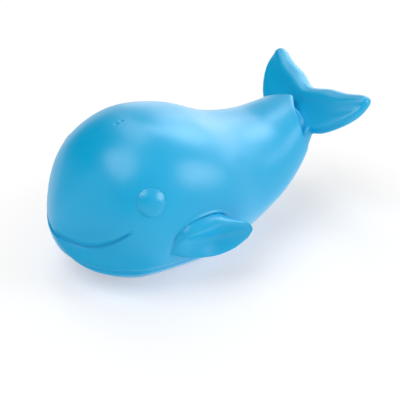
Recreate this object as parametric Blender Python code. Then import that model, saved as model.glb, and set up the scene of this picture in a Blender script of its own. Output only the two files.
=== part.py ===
"""Squeaky toy whale, built from its separate mouldings and its squeaker.

Units are metres and +Z is up. The nose points to -Y, the tail to +Y and the
whale's left side to +X. The origin lies on the floor under the middle of the
whale.
"""

import math
from collections import namedtuple

import bmesh
import bpy
from mathutils import Matrix, Vector

MM = 0.001

# Main sizes of the body, without its flukes and flippers.
BODY_LENGTH = 147.1 * MM
BODY_HEIGHT = 81.0 * MM
BODY_BREADTH = 86.0 * MM

# Lines of the body in drawing units, which its main sizes set to scale: at each
# station the point on the back, the point on the keel and the half breadth
# between them.
Station = namedtuple("Station", "back_y back_z keel_y keel_z half_breadth")
STATIONS = (
    Station(-81.9, 29.3, -81.9, 29.3, 0.0),
    Station(-72.4, 53.8, -72.7, 10.2, 24.2),
    Station(-59.1, 70.9, -54.2, 0.0, 38.1),
    Station(-36.9, 78.9, -31.5, -2.1, 43.0),
    Station(-11.4, 74.1, -5.4, -1.4, 42.1),
    Station(11.8, 63.2, 15.4, 5.3, 34.6),
    Station(31.8, 58.6, 36.2, 14.2, 28.8),
    Station(46.5, 59.7, 52.7, 25.8, 22.3),
    Station(56.5, 61.6, 65.2, 42.2, 16.3),
)
TAIL_END = len(STATIONS) - 1
BREADTH_SHARE = 0.46
FULLNESS = 2.15

# Clearance between neighbouring pieces, and along the seam that slides.
CLEAR = 0.3 * MM
SEAM_CLEAR = 0.45 * MM

# How far a cutter reaches past what it cuts, and a joined shape into its base.
CUT_PAST = 4.0 * MM
JOIN_INTO = 1.0 * MM

# Points nearer than this to the mirror plane, or to the seam, are put on it.
MIRROR_SNAP = 0.05 * MM
SEAM_SNAP = 0.2 * MM

# Skin: full wall, thin wall at the rim, and the height over which it grows.
WALL = 2.5 * MM
RIM_WALL = 1.0 * MM
RIM_TAPER = 8.0 * MM
SEAM_Z = 16.0 * MM

# Belly pan: its wall, the lip inside the skin, the groove under the seam and
# two pleats that run along below it.
PAN_WALL = 2.2 * MM
LIP_HEIGHT = 4.0 * MM
STEP_HEIGHT = 4.0 * MM
PAN_INSET = 0.2 * MM
PLEAT_DEPTH = 0.5 * MM
PLEAT_WIDTH = 1.6 * MM
PLEAT_HEIGHTS = (7.0 * MM, 3.5 * MM)

# Mouth: a smile groove, lowest on the nose and rising to its corners. Its middle
# is found this little beside the tip of the nose, where the stations all meet.
MOUTH_Z = 30.3 * MM
MOUTH_RISE = 10.1 * MM
MOUTH_CURVE = 4.5
MOUTH_HALF = 35.2 * MM
MOUTH_GROOVE = 1.1 * MM
MOUTH_CORNER_GROOVE = 0.66 * MM
NOSE_BESIDE = 0.1 * MM

# Blowhole: two small pits in line on the back, this far behind the nose.
BLOWHOLES_BEHIND = (35.5 * MM, 38.3 * MM)
BLOWHOLE_RADIUS = 1.1 * MM

# Eyes: their place behind the nose, dome, round seat in the skin, stem and barb.
EYE_BEHIND = 30.9 * MM
EYE_Z = 53.6 * MM
EYE_RADIUS = 6.6 * MM
EYE_DOME = 1.7 * MM
EYE_EDGE = -0.5 * MM
EYE_SEAT = 1.2 * MM
EYE_STEM_RADIUS = 2.2 * MM
EYE_BARB_RADIUS = 3.6 * MM
EYE_TIP_RADIUS = 2.1 * MM
EYE_BARB = 1.6 * MM

# Space between the inside of the skin and a flange that holds a piece in it.
# The skin is curved, so this is more than the usual clearance.
FLANGE_SPACE = 0.9 * MM

# Flippers: their sizes and the place on the flank, behind the nose, that they are
# set from, then for each section, in drawing units, the offset from there
# outwards, back and up, its half width and half thickness. The neck that holds a
# flipper stands above that place.
FLIPPER_LENGTH = 36.2 * MM
FLIPPER_WIDTH = 18.6 * MM
FLIPPER_THICKNESS = 7.0 * MM
FLIPPER_BEHIND = 52.5 * MM
FLIPPER_Z = 29.0 * MM
FLIPPER_SECTIONS = (
    (-5.5, -12.0, -4.5, 0.0, 0.0),
    (-3.0, -9.5, -2.8, 5.6, 2.5),
    (0.0, -2.5, 0.6, 8.8, 3.5),
    (3.0, 8.0, 0.8, 9.3, 3.5),
    (6.5, 17.5, 0.2, 6.5, 3.0),
    (9.0, 22.5, 1.7, 3.1, 2.0),
    (9.9, 24.2, 2.0, 0.0, 0.0),
)
FLIPPER_WIDTH_WAY = Vector((-0.25, 0.0, 1.0)).normalized()
FLIPPER_THICK_WAY = Vector((0.93, -0.3, 0.23)).normalized()
NECK_RISE = 5.0 * MM
NECK_RADIUS = 3.0 * MM
NECK_FLANGE_RADIUS = 4.5 * MM
NECK_FLANGE = 1.8 * MM
NECK_OUT = 2.0 * MM

# Flukes: their sizes, how far their notch lies behind and below the end of the
# back, the slope and droop of the lobes, then for each section of a lobe, in
# drawing units, its distance from the middle, mid chord, half chord and half
# thickness.
FLUKE_SPAN = 75.6 * MM
FLUKE_CHORD = 26.0 * MM
FLUKE_THICKNESS = 11.0 * MM
FLUKE_BEHIND = 14.8 * MM
FLUKE_BELOW = 1.9 * MM
FLUKE_SLOPE = math.radians(41.0)
FLUKE_DROOP = math.radians(1.0)
FLUKE_SECTIONS = (
    (0.0, -8.3, 11.0, 5.5),
    (11.7, -6.3, 13.0, 5.5),
    (22.4, -4.3, 12.7, 5.0),
    (31.2, 0.9, 12.2, 4.2),
    (36.3, 5.1, 5.6, 3.0),
    (37.8, 6.2, 0.0, 0.0),
)
PLUG_START = TAIL_END - 0.6
PLUG_DOME = 7.0 * MM

# Squeaker: it stands in a boss of the belly pan, flush inside a counterbore.
SQUEAKER_Y = -26.4 * MM
BOSS_RADIUS = 12.5 * MM
BOSS_TOP = 9.0 * MM
BORE_RADIUS = 7.5 * MM
CUP_FLANGE_RADIUS = 10.0 * MM
CUP_FLANGE = 1.2 * MM
CUP_RECESS = 0.4 * MM
CUP_WALL = 1.5 * MM
CUP_DECK = 2.6 * MM
CUP_TOP = 14.0 * MM
CUP_BEAD = 0.9 * MM
CUP_BEAD_HEIGHT = 1.2 * MM
CAP_PLATE = 1.2 * MM
CAP_WALL = 1.2 * MM
CAP_SKIRT = 2.2 * MM
CAP_VENT_RADIUS = 1.0 * MM
CAP_VENT_CIRCLE = 4.0 * MM
CAP_VENTS = 6
BLOCK_TOP = 12.0 * MM
SPIGOT_RADIUS = 2.3 * MM
CHANNEL_WIDTH = 2.4 * MM
CHANNEL_DEPTH = 1.8 * MM
CHANNEL_START = 1.0 * MM
CHANNEL_END = 1.2 * MM
AIR_HOLE_RADIUS = 0.7 * MM
CLAMP_HEIGHT = 3.9 * MM
REED_THICKNESS = 0.25 * MM
REED_WIDTH = 5.0 * MM
REED_END = 0.6 * MM

# Fineness of the meshes, and the angle from which an edge shows as an edge.
SKIN_ROWS = 14
NOSE_COLUMNS = 5
SKIN_COLUMNS = 28
PAN_COLUMNS = 24
MOUTH_STEPS = 18
EYE_RINGS = 6
FLIPPER_STEPS = 12
FLUKE_STEPS = 14
PLUG_STEPS = 3
PLUG_RINGS = 5
TURNED_STEPS = 32
SMALL_STEPS = 16
SECTION_STEPS = 20
SHARP_ANGLE = math.radians(40.0)


# The body's lines


def spline(points, u):
    """A smooth curve through points; the first and last only steer its ends."""
    last = len(points) - 4
    i = min(int(math.floor(u)), last)
    i = max(i, 0)
    t = u - i
    values = []
    for a, b, c, d in zip(*points[i : i + 4]):
        bend = 2.0 * a - 5.0 * b + 4.0 * c - d
        twist = 3.0 * b - a - 3.0 * c + d
        values.append(b + 0.5 * t * ((c - a) + t * (bend + t * twist)))
    return values


def reach(table, *columns):
    """How far the drawn values in these columns of a table reach."""
    values = [row[column] for row in table for column in columns]
    return max(values) - min(values)


def to_scale(table, scales):
    """The rows of a drawn table at their real size, with a scale for each column."""
    return [[value * scale for value, scale in zip(row, scales)] for row in table]


def steered_stations():
    """The stations to scale, with one more before the nose and after the tail."""
    long = BODY_LENGTH / reach(STATIONS, 0, 2)
    high = BODY_HEIGHT / reach(STATIONS, 1, 3)
    broad = 0.5 * BODY_BREADTH / reach(STATIONS, 4)
    rows = to_scale(STATIONS, (long, high, long, high, broad))
    first = rows[1]
    before = [first[2], first[3], first[0], first[1], -first[4]]
    after = [2.0 * a - b for a, b in zip(rows[-1], rows[-2])]
    return [before] + rows + [after]


LINES = steered_stations()
NOSE_Y = LINES[1][0]


def section_at(u):
    """The back, keel and widest height of the section at u, and its half breadth."""
    back_y, back_z, keel_y, keel_z, half = spline(LINES, u)
    back = Vector((0.0, back_y, back_z))
    keel = Vector((0.0, keel_y, keel_z))
    centre = keel.lerp(back, BREADTH_SHARE)
    return back, keel, centre, half


def rounded(value):
    """A sine or cosine, filled out to the section's roundness."""
    return math.copysign(abs(value) ** (2.0 / FULLNESS), value)


def hull_point(u, angle):
    """The body's surface: angle 0 on the back, pi / 2 at the left, pi at the keel."""
    back, keel, centre, half = section_at(u)
    across = rounded(math.sin(angle))
    along = rounded(math.cos(angle))
    end = back if along >= 0.0 else keel
    point = centre + abs(along) * (end - centre)
    point.x = half * across
    return point


def hull_normal(u, angle):
    """The outward direction of the body's surface."""
    step = 0.01
    u = max(u, 2.0 * step)
    turn = hull_point(u, angle + step) - hull_point(u, angle - step)
    run = hull_point(u + step, angle) - hull_point(u - step, angle)
    return turn.cross(run).normalized()


def skin_point(u, angle, depth):
    """The point this deep under the body's surface."""
    return hull_point(u, angle) - depth * hull_normal(u, angle)


def solve(function, low, high):
    """Where a rising function crosses zero."""
    for _ in range(50):
        middle = 0.5 * (low + high)
        if function(middle) > 0.0:
            high = middle
        else:
            low = middle
    return 0.5 * (low + high)


def lowest_station():
    """Where the keel is lowest."""
    steps = [k * 0.01 for k in range(100 * TAIL_END)]
    return min(steps, key=lambda u: section_at(u)[1].z)


LOWEST = lowest_station()


def keel_ends(height):
    """Where the keel passes this height, before and behind its lowest point."""
    front = solve(lambda u: height - section_at(u)[1].z, 0.0, LOWEST)
    rear = solve(lambda u: section_at(u)[1].z - height, LOWEST, TAIL_END)
    return front, rear


def angle_at_height(u, height):
    """The angle at which the section at u reaches this height."""
    back, keel, centre, _ = section_at(u)
    if height >= centre.z:
        share = min((height - centre.z) / (back.z - centre.z), 1.0)
        return math.acos(share ** (FULLNESS / 2.0))
    share = min((centre.z - height) / (centre.z - keel.z), 1.0)
    return math.acos(-(share ** (FULLNESS / 2.0)))


def flank_place(y, z):
    """The station and angle of the point on the left flank at this y and z."""

    def miss(u):
        return hull_point(u, angle_at_height(u, z)).y - y

    u = solve(miss, 0.3, TAIL_END)
    return u, angle_at_height(u, z)


def nose_place(x, z):
    """The station and angle of the point on the nose at this x and z."""

    def miss(u):
        return hull_point(u, angle_at_height(u, z)).x - x

    u = solve(miss, 0.02, 3.0)
    return u, angle_at_height(u, z)


def back_place(y):
    """The station of the point on the back at this y."""
    return solve(lambda u: section_at(u)[0].y - y, 0.0, TAIL_END)


def spread(first, last, count, gather=False):
    """Evenly spread values, or values gathered at both ends."""
    values = []
    for k in range(count + 1):
        share = k / count
        if gather:
            share = 0.5 - 0.5 * math.cos(math.pi * share)
        values.append(first + share * (last - first))
    return values


# Making objects


def clear_scene():
    """Removes every object and what they leave behind."""
    for obj in list(bpy.data.objects):
        bpy.data.objects.remove(obj, do_unlink=True)
    for mesh in list(bpy.data.meshes):
        bpy.data.meshes.remove(mesh)


def make_material(name, colour, roughness):
    """A plain material of one colour."""
    material = bpy.data.materials.new(name)
    material.use_nodes = True
    shader = material.node_tree.nodes["Principled BSDF"]
    shader.inputs["Base Color"].default_value = (*colour, 1.0)
    shader.inputs["Roughness"].default_value = roughness
    return material


def make_object(name, mesh_maker, material=None):
    """An object from a filled bmesh; one without a material is a hidden cutter."""
    mesh = bpy.data.meshes.new(name)
    mesh_maker.to_mesh(mesh)
    mesh_maker.free()
    obj = bpy.data.objects.new(name, mesh)
    bpy.context.scene.collection.objects.link(obj)
    if material is None:
        obj.hide_render = True
        obj.display_type = "WIRE"
    else:
        mesh.materials.append(material)
        mesh.shade_smooth()
        mesh.set_sharp_from_angle(angle=SHARP_ANGLE)
    return obj


def fill_grid(bm, columns, closed=False):
    """Faces between columns of points; equal points in a column become one."""
    made = []
    for column in columns:
        if (column[0] - column[-1]).length < 1e-7 and len(set(map(tuple, column))) == 1:
            made.append([bm.verts.new(column[0])] * len(column))
        else:
            made.append([bm.verts.new(point) for point in column])
    rows = len(columns[0])
    for left, right in zip(made, made[1:]):
        for k in range(rows if closed else rows - 1):
            below = (k + 1) % rows
            corners = []
            for vert in (left[k], left[below], right[below], right[k]):
                if vert not in corners:
                    corners.append(vert)
            bm.faces.new(corners)
    return made


def add_mirror(obj):
    """Adds the right half."""
    mirror = obj.modifiers.new("right_half", "MIRROR")
    mirror.use_axis = (True, False, False)
    mirror.merge_threshold = MIRROR_SNAP


def add_wall(obj, thickness, thinnest=None):
    """Turns a surface into a wall, thinner where the group 'full' has no weight."""
    wall = obj.modifiers.new("wall", "SOLIDIFY")
    wall.thickness = thickness
    wall.offset = -1.0
    wall.use_even_offset = True
    if thinnest is not None:
        wall.vertex_group = "full"
        wall.thickness_vertex_group = thinnest / thickness


def add_boolean(obj, other, operation):
    """Cuts or joins another object; the other one is hidden."""
    change = obj.modifiers.new(other.name, "BOOLEAN")
    change.operation = operation
    change.solver = "EXACT"
    change.object = other


def turned_mesh(profile, place=None, steps=TURNED_STEPS):
    """A closed solid turned round Z from points (radius, height), base to top."""
    bm = bmesh.new()
    rings = []
    for radius, height in profile:
        ring = []
        if radius < 1e-9:
            ring = [bm.verts.new((0.0, 0.0, height))] * steps
        else:
            for k in range(steps):
                turn = 2.0 * math.pi * k / steps
                ring.append(bm.verts.new((radius * math.cos(turn), radius * math.sin(turn), height)))
        rings.append(ring)
    hollow = profile[0][0] > 1e-9
    pairs = list(zip(rings, rings[1:]))
    if hollow:
        pairs.append((rings[-1], rings[0]))
    for lower, upper in pairs:
        for k in range(steps):
            after = (k + 1) % steps
            corners = []
            for vert in (lower[k], lower[after], upper[after], upper[k]):
                if vert not in corners:
                    corners.append(vert)
            if len(corners) > 2:
                bm.faces.new(corners)
    bmesh.ops.recalc_face_normals(bm, faces=bm.faces)
    if place is not None:
        bm.transform(place)
    return bm


def frame_on(point, normal):
    """A placing whose Z axis leaves the point along the normal."""
    turn = normal.to_track_quat("Z", "Y").to_matrix().to_4x4()
    return Matrix.Translation(point) @ turn


def box_mesh(low, high):
    """A box between two corners."""
    bm = bmesh.new()
    bmesh.ops.create_cube(bm, size=1.0)
    low = Vector(low)
    high = Vector(high)
    for vert in bm.verts:
        share = vert.co + Vector((0.5, 0.5, 0.5))
        for axis in range(3):
            vert.co[axis] = low[axis] + share[axis] * (high[axis] - low[axis])
    return bm


def sections_mesh(centres, ways, sizes, steps=SECTION_STEPS, ends=True):
    """A solid through oval sections, each with a centre, two ways and two sizes."""
    columns = []
    for centre, (wide_way, thick_way), (wide, thick) in zip(centres, ways, sizes):
        column = []
        for k in range(steps):
            turn = 2.0 * math.pi * k / steps
            column.append(
                centre + wide * math.cos(turn) * wide_way + thick * math.sin(turn) * thick_way
            )
        columns.append(column)
    bm = bmesh.new()
    made = fill_grid(bm, columns, closed=True)
    if ends:
        for ring in (made[0], made[-1]):
            if ring[0] != ring[1]:
                bm.faces.new(ring)
    bmesh.ops.recalc_face_normals(bm, faces=bm.faces)
    return bm


# The skin


def wall_depth(height):
    """The thickness of the skin where its outside has this height."""
    share = min(max((height - SEAM_Z) / RIM_TAPER, 0.0), 1.0)
    return RIM_WALL + share * (WALL - RIM_WALL)


def skin_columns():
    """The stations at which the skin has a column of points."""
    nose = [(k / NOSE_COLUMNS) ** 1.4 for k in range(NOSE_COLUMNS)]
    return nose + spread(1.0, TAIL_END, SKIN_COLUMNS)


def half_columns(depth):
    """Columns of points over the left half of the body, from back to keel."""
    columns = []
    for u in skin_columns():
        column = [skin_point(u, angle, depth) for angle in spread(0.0, math.pi, SKIN_ROWS)]
        column[0].x = 0.0
        column[-1].x = 0.0
        if u == 0.0:
            column = [column[0]] * len(column)
        columns.append(column)
    return columns


def make_skin(material):
    """The left half of the outside, cut off at the seam, mirrored and given its wall."""
    bm = bmesh.new()
    fill_grid(bm, half_columns(0.0))
    bmesh.ops.bisect_plane(
        bm,
        geom=[*bm.verts, *bm.edges, *bm.faces],
        dist=SEAM_SNAP,
        plane_co=(0.0, 0.0, SEAM_Z),
        plane_no=(0.0, 0.0, -1.0),
        clear_outer=True,
    )
    obj = make_object("upper_skin", bm, material)
    group = obj.vertex_groups.new(name="full")
    for vert in obj.data.vertices:
        share = (wall_depth(vert.co.z) - RIM_WALL) / (WALL - RIM_WALL)
        group.add([vert.index], share, "REPLACE")
    add_mirror(obj)
    add_wall(obj, WALL, RIM_WALL)
    return obj


def make_envelope():
    """The whole body with clearance added, to cut the pieces that sit against it."""
    columns = half_columns(-CLEAR)
    past_end = CLEAR * end_way()
    columns.append([point + past_end for point in columns[-1]])
    bm = bmesh.new()
    made = fill_grid(bm, columns)
    bm.faces.new(made[-1])
    bmesh.ops.recalc_face_normals(bm, faces=bm.faces)
    obj = make_object("body_envelope", bm)
    add_mirror(obj)
    return obj


def end_way():
    """The direction in which the open end of the tail stalk faces."""
    back, keel, _, _ = section_at(TAIL_END)
    return Vector((1.0, 0.0, 0.0)).cross(back - keel).normalized() * -1.0


def cut_mouth(skin):
    """Cuts the smile: a groove that thins out to its corners."""
    centres = []
    ways = []
    sizes = []
    for k in range(-MOUTH_STEPS, MOUTH_STEPS + 1):
        share = k / MOUTH_STEPS
        x = share * MOUTH_HALF
        beside = max(abs(x), NOSE_BESIDE)
        place = nose_place(beside, MOUTH_Z + MOUTH_RISE * abs(share) ** MOUTH_CURVE)
        point = hull_point(*place)
        outward = hull_normal(*place)
        side = math.copysign(1.0, x)
        point.x *= side
        outward.x *= side
        centres.append(point)
        ways.append(outward)
        sizes.append(MOUTH_GROOVE + share**6 * (MOUTH_CORNER_GROOVE - MOUTH_GROOVE))
    frames = []
    for k, outward in enumerate(ways):
        ahead = centres[min(k + 1, len(centres) - 1)]
        behind = centres[max(k - 1, 0)]
        along = (ahead - behind).normalized()
        frames.append((outward, along.cross(outward).normalized()))
    pairs = [(size, size) for size in sizes]
    cutter = make_object("mouth_cutter", sections_mesh(centres, frames, pairs, 8))
    add_boolean(skin, cutter, "DIFFERENCE")


def cut_blowhole(skin):
    """Cuts the two pits of the blowhole."""
    for number, behind in enumerate(BLOWHOLES_BEHIND):
        point = section_at(back_place(NOSE_Y + behind))[0]
        bm = bmesh.new()
        bmesh.ops.create_icosphere(
            bm, subdivisions=2, radius=BLOWHOLE_RADIUS, matrix=Matrix.Translation(point)
        )
        cutter = make_object(f"blowhole_cutter_{number}", bm)
        add_boolean(skin, cutter, "DIFFERENCE")


# The belly


def pan_depth(height):
    """How far inside the body's lines the pan's outside lies at this height."""
    if height >= SEAM_Z:
        return wall_depth(height) + SEAM_CLEAR
    share = min((SEAM_Z - height) / STEP_HEIGHT, 1.0)
    ease = share * share * (3.0 - 2.0 * share)
    depth = (1.0 - ease) * (RIM_WALL + SEAM_CLEAR) + ease * PAN_INSET
    for pleat in PLEAT_HEIGHTS:
        near = max(1.0 - abs(height - pleat) / PLEAT_WIDTH, 0.0)
        depth += PLEAT_DEPTH * near
    return depth


def pan_levels():
    """The heights of the pan's rows, from the lip down to the foot."""
    levels = [SEAM_Z + LIP_HEIGHT, SEAM_Z + 0.5 * LIP_HEIGHT, SEAM_Z]
    levels += [SEAM_Z - 0.5 * STEP_HEIGHT, SEAM_Z - STEP_HEIGHT]
    for pleat in PLEAT_HEIGHTS:
        levels += [pleat + PLEAT_WIDTH, pleat, pleat - PLEAT_WIDTH]
    return sorted(set(levels + [0.0]), reverse=True)


def make_pan(material):
    """The left half of the belly's outside, mirrored and given its wall."""
    rows = []
    for height in pan_levels():
        front, rear = keel_ends(height)
        row = []
        for u in spread(front, rear, PAN_COLUMNS, gather=True):
            point = skin_point(u, angle_at_height(u, height), pan_depth(height))
            row.append(point)
        row[0].x = 0.0
        row[-1].x = 0.0
        if height == 0.0:
            for point in row:
                point.z = 0.0
        rows.append(row)
    bm = bmesh.new()
    made = fill_grid(bm, rows)
    bm.faces.new(made[-1])
    bmesh.ops.recalc_face_normals(bm, faces=bm.faces)
    obj = make_object("belly_pan", bm, material)
    add_mirror(obj)
    add_wall(obj, PAN_WALL)
    return obj


def at_squeaker(height=0.0):
    """A placing on the squeaker's axis."""
    return Matrix.Translation((0.0, SQUEAKER_Y, height))


def fit_boss(pan):
    """Adds the boss that holds the squeaker and bores it through."""
    boss_base = 0.5 * PAN_WALL
    boss = [(0.0, boss_base), (BOSS_RADIUS, boss_base), (BOSS_RADIUS, BOSS_TOP), (0.0, BOSS_TOP)]
    add_boolean(pan, make_object("boss", turned_mesh(boss, at_squeaker())), "UNION")
    flange_top = CUP_RECESS + CUP_FLANGE + CLEAR
    wide = CUP_FLANGE_RADIUS + CLEAR
    bore = [
        (0.0, -CUT_PAST),
        (wide, -CUT_PAST),
        (wide, flange_top),
        (BORE_RADIUS, flange_top),
        (BORE_RADIUS, BOSS_TOP + CUT_PAST),
        (0.0, BOSS_TOP + CUT_PAST),
    ]
    add_boolean(pan, make_object("bore", turned_mesh(bore, at_squeaker())), "DIFFERENCE")


# Pieces plugged into the skin


def mirrored(place, side):
    """A point or direction moved to the given side."""
    return Vector((side * place.x, place.y, place.z))


def make_eye(name, side, skin, material):
    """A domed eye with its stem and barb, and its seat in the skin."""
    place = flank_place(NOSE_Y + EYE_BEHIND, EYE_Z)
    point = mirrored(hull_point(*place), side)
    outward = mirrored(hull_normal(*place), side)
    frame = frame_on(point, outward)
    height = EYE_DOME - EYE_EDGE
    ball = (EYE_RADIUS**2 + height**2) / (2.0 * height)
    sweep = math.asin(EYE_RADIUS / ball)
    base = CLEAR - EYE_SEAT
    barb = -WALL - FLANGE_SPACE
    profile = [
        (0.0, barb - EYE_BARB),
        (EYE_TIP_RADIUS, barb - EYE_BARB),
        (EYE_BARB_RADIUS, barb),
        (EYE_STEM_RADIUS, barb),
        (EYE_STEM_RADIUS, base),
        (EYE_RADIUS, base),
    ]
    for k in range(EYE_RINGS + 1):
        turn = sweep * (1.0 - k / EYE_RINGS)
        profile.append((ball * math.sin(turn), EYE_DOME - ball + ball * math.cos(turn)))
    profile[-1] = (0.0, EYE_DOME)
    eye = make_object(name, turned_mesh(profile, frame), material)
    seat_radius = EYE_RADIUS + CLEAR
    hole = EYE_STEM_RADIUS + CLEAR
    seat = [
        (0.0, -WALL - CUT_PAST),
        (hole, -WALL - CUT_PAST),
        (hole, -EYE_SEAT),
        (seat_radius, -EYE_SEAT),
        (seat_radius, CUT_PAST),
        (0.0, CUT_PAST),
    ]
    add_boolean(skin, make_object(name + "_seat", turned_mesh(seat, frame)), "DIFFERENCE")
    return eye


def make_flipper(name, side, skin, envelope, material):
    """A paddle that lies against the flank, with a neck and flange inside."""
    root = hull_point(*flank_place(NOSE_Y + FLIPPER_BEHIND, FLIPPER_Z))
    long = FLIPPER_LENGTH / reach(FLIPPER_SECTIONS, 1)
    broad = 0.5 * FLIPPER_WIDTH / reach(FLIPPER_SECTIONS, 3)
    deep = 0.5 * FLIPPER_THICKNESS / reach(FLIPPER_SECTIONS, 4)
    rows = to_scale(FLIPPER_SECTIONS, (long, long, long, broad, deep))
    before = rows[1][:3] + [-rows[1][3], -rows[1][4]]
    after = rows[-2][:3] + [-rows[-2][3], -rows[-2][4]]
    steered = [before] + rows + [after]
    wide_way = mirrored(FLIPPER_WIDTH_WAY, side)
    thick_way = mirrored(FLIPPER_THICK_WAY, side)
    centres = []
    sizes = []
    last = len(rows) - 1
    for u in spread(0.0, last, FLIPPER_STEPS, gather=True):
        out, back, up, wide, thick = spline(steered, u)
        centres.append(mirrored(root + Vector((out, back, up)), side))
        sizes.append((max(wide, 0.0), max(thick, 0.0)))
    ways = [(wide_way, thick_way)] * len(centres)
    flipper = make_object(name, sections_mesh(centres, ways, sizes), material)
    add_boolean(flipper, envelope, "DIFFERENCE")
    place = flank_place(NOSE_Y + FLIPPER_BEHIND, FLIPPER_Z + NECK_RISE)
    frame = frame_on(mirrored(hull_point(*place), side), mirrored(hull_normal(*place), side))
    flange = -WALL - FLANGE_SPACE
    neck = [
        (0.0, flange - NECK_FLANGE),
        (NECK_FLANGE_RADIUS, flange - NECK_FLANGE),
        (NECK_FLANGE_RADIUS, flange),
        (NECK_RADIUS, flange),
        (NECK_RADIUS, NECK_OUT),
        (0.0, NECK_OUT),
    ]
    add_boolean(flipper, make_object(name + "_neck", turned_mesh(neck, frame)), "UNION")
    hole = [
        (0.0, -WALL - CUT_PAST),
        (NECK_RADIUS + CLEAR, -WALL - CUT_PAST),
        (NECK_RADIUS + CLEAR, CUT_PAST),
        (0.0, CUT_PAST),
    ]
    add_boolean(skin, make_object(name + "_hole", turned_mesh(hole, frame)), "DIFFERENCE")
    return flipper


def make_plug():
    """The plug inside the stalk's open end, rounded off behind it."""
    columns = []
    inset = WALL + CLEAR
    steps = 2 * SECTION_STEPS
    angles = [2.0 * math.pi * k / steps for k in range(steps)]
    for u in spread(PLUG_START, TAIL_END, PLUG_STEPS):
        columns.append([skin_point(u, angle, inset) for angle in angles])
    end = columns[-1]
    middle = sum(end, Vector()) / steps
    for k in range(1, PLUG_RINGS + 1):
        turn = 0.5 * math.pi * k / PLUG_RINGS
        way = PLUG_DOME * math.sin(turn) * end_way()
        if k == PLUG_RINGS:
            columns.append([middle + way] * steps)
        else:
            columns.append([middle.lerp(point, math.cos(turn)) + way for point in end])
    bm = bmesh.new()
    made = fill_grid(bm, columns, closed=True)
    bm.faces.new(made[0])
    bmesh.ops.recalc_face_normals(bm, faces=bm.faces)
    return make_object("fluke_plug", bm)


def make_flukes(envelope, material):
    """The left lobe, mirrored, cut clear of the stalk and joined to its plug."""
    chord_way = Vector((0.0, math.cos(FLUKE_SLOPE), math.sin(FLUKE_SLOPE)))
    thick_way = Vector((0.0, -math.sin(FLUKE_SLOPE), math.cos(FLUKE_SLOPE)))
    notch = section_at(TAIL_END)[0] + Vector((0.0, FLUKE_BEHIND, -FLUKE_BELOW))
    span = 0.5 * FLUKE_SPAN / reach(FLUKE_SECTIONS, 0)
    chord = 0.5 * FLUKE_CHORD / reach(FLUKE_SECTIONS, 2)
    deep = 0.5 * FLUKE_THICKNESS / reach(FLUKE_SECTIONS, 3)
    rows = to_scale(FLUKE_SECTIONS, (span, chord, chord, deep))
    before = [-rows[1][0]] + rows[1][1:]
    tip = rows[-1]
    near = rows[-2]
    after = [near[0], 2.0 * tip[1] - near[1], -near[2], -near[3]]
    steered = [before] + rows + [after]
    centres = []
    sizes = []
    last = len(rows) - 1
    for u in spread(0.0, last, FLUKE_STEPS):
        out, mid, wide, thick = spline(steered, u)
        lobe = Vector((out * math.cos(FLUKE_DROOP), 0.0, 0.0))
        lobe -= out * math.sin(FLUKE_DROOP) * thick_way
        centres.append(notch + lobe + mid * chord_way)
        sizes.append((max(wide, 0.0), max(thick, 0.0)))
    ways = [(chord_way, thick_way)] * len(centres)
    bm = sections_mesh(centres, ways, sizes, ends=False)
    flukes = make_object("tail_flukes", bm, material)
    add_mirror(flukes)
    add_boolean(flukes, envelope, "DIFFERENCE")
    add_boolean(flukes, make_plug(), "UNION")
    return flukes


# The squeaker

TUBE_RADIUS = BORE_RADIUS - CLEAR
INNER_RADIUS = TUBE_RADIUS - CUP_WALL
DECK_TOP = CUP_RECESS + CUP_DECK
BLOCK_RADIUS = INNER_RADIUS - CLEAR
BLOCK_BASE = DECK_TOP + CLEAR
CLAMP_TOP = BLOCK_BASE + CLAMP_HEIGHT
REED_FACE = CLEAR
CLAMP_FACE = REED_FACE + REED_THICKNESS + CLEAR


def make_cup(material):
    """The flanged cup: its deck has the hole that the air leaves by."""
    hole = SPIGOT_RADIUS + CLEAR
    bead_base = BOSS_TOP + CLEAR
    profile = [
        (hole, CUP_RECESS),
        (CUP_FLANGE_RADIUS, CUP_RECESS),
        (CUP_FLANGE_RADIUS, CUP_RECESS + CUP_FLANGE),
        (TUBE_RADIUS, CUP_RECESS + CUP_FLANGE),
        (TUBE_RADIUS, bead_base),
        (TUBE_RADIUS + CUP_BEAD, bead_base),
        (TUBE_RADIUS, bead_base + CUP_BEAD_HEIGHT),
        (TUBE_RADIUS, CUP_TOP),
        (INNER_RADIUS, CUP_TOP),
        (INNER_RADIUS, DECK_TOP),
        (hole, DECK_TOP),
    ]
    return make_object("squeaker_cup", turned_mesh(profile, at_squeaker()), material)


def make_cap(material):
    """The vented cover over the cup."""
    inner = TUBE_RADIUS + CLEAR
    outer = inner + CAP_WALL
    under = CUP_TOP + CLEAR
    top = under + CAP_PLATE
    profile = [
        (0.0, under),
        (inner, under),
        (inner, under - CAP_SKIRT),
        (outer, under - CAP_SKIRT),
        (outer, top),
        (0.0, top),
    ]
    cap = make_object("squeaker_cap", turned_mesh(profile, at_squeaker()), material)
    vent = [(0.0, under - CUT_PAST), (CAP_VENT_RADIUS, under - CUT_PAST)]
    vent += [(CAP_VENT_RADIUS, top + CUT_PAST), (0.0, top + CUT_PAST)]
    for number in range(CAP_VENTS):
        turn = 2.0 * math.pi * number / CAP_VENTS
        across = CAP_VENT_CIRCLE * math.cos(turn)
        along = CAP_VENT_CIRCLE * math.sin(turn)
        place = at_squeaker() @ Matrix.Translation((across, along, 0.0))
        cutter = make_object(f"vent_{number}", turned_mesh(vent, place, SMALL_STEPS))
        add_boolean(cap, cutter, "DIFFERENCE")
    return cap


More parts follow.
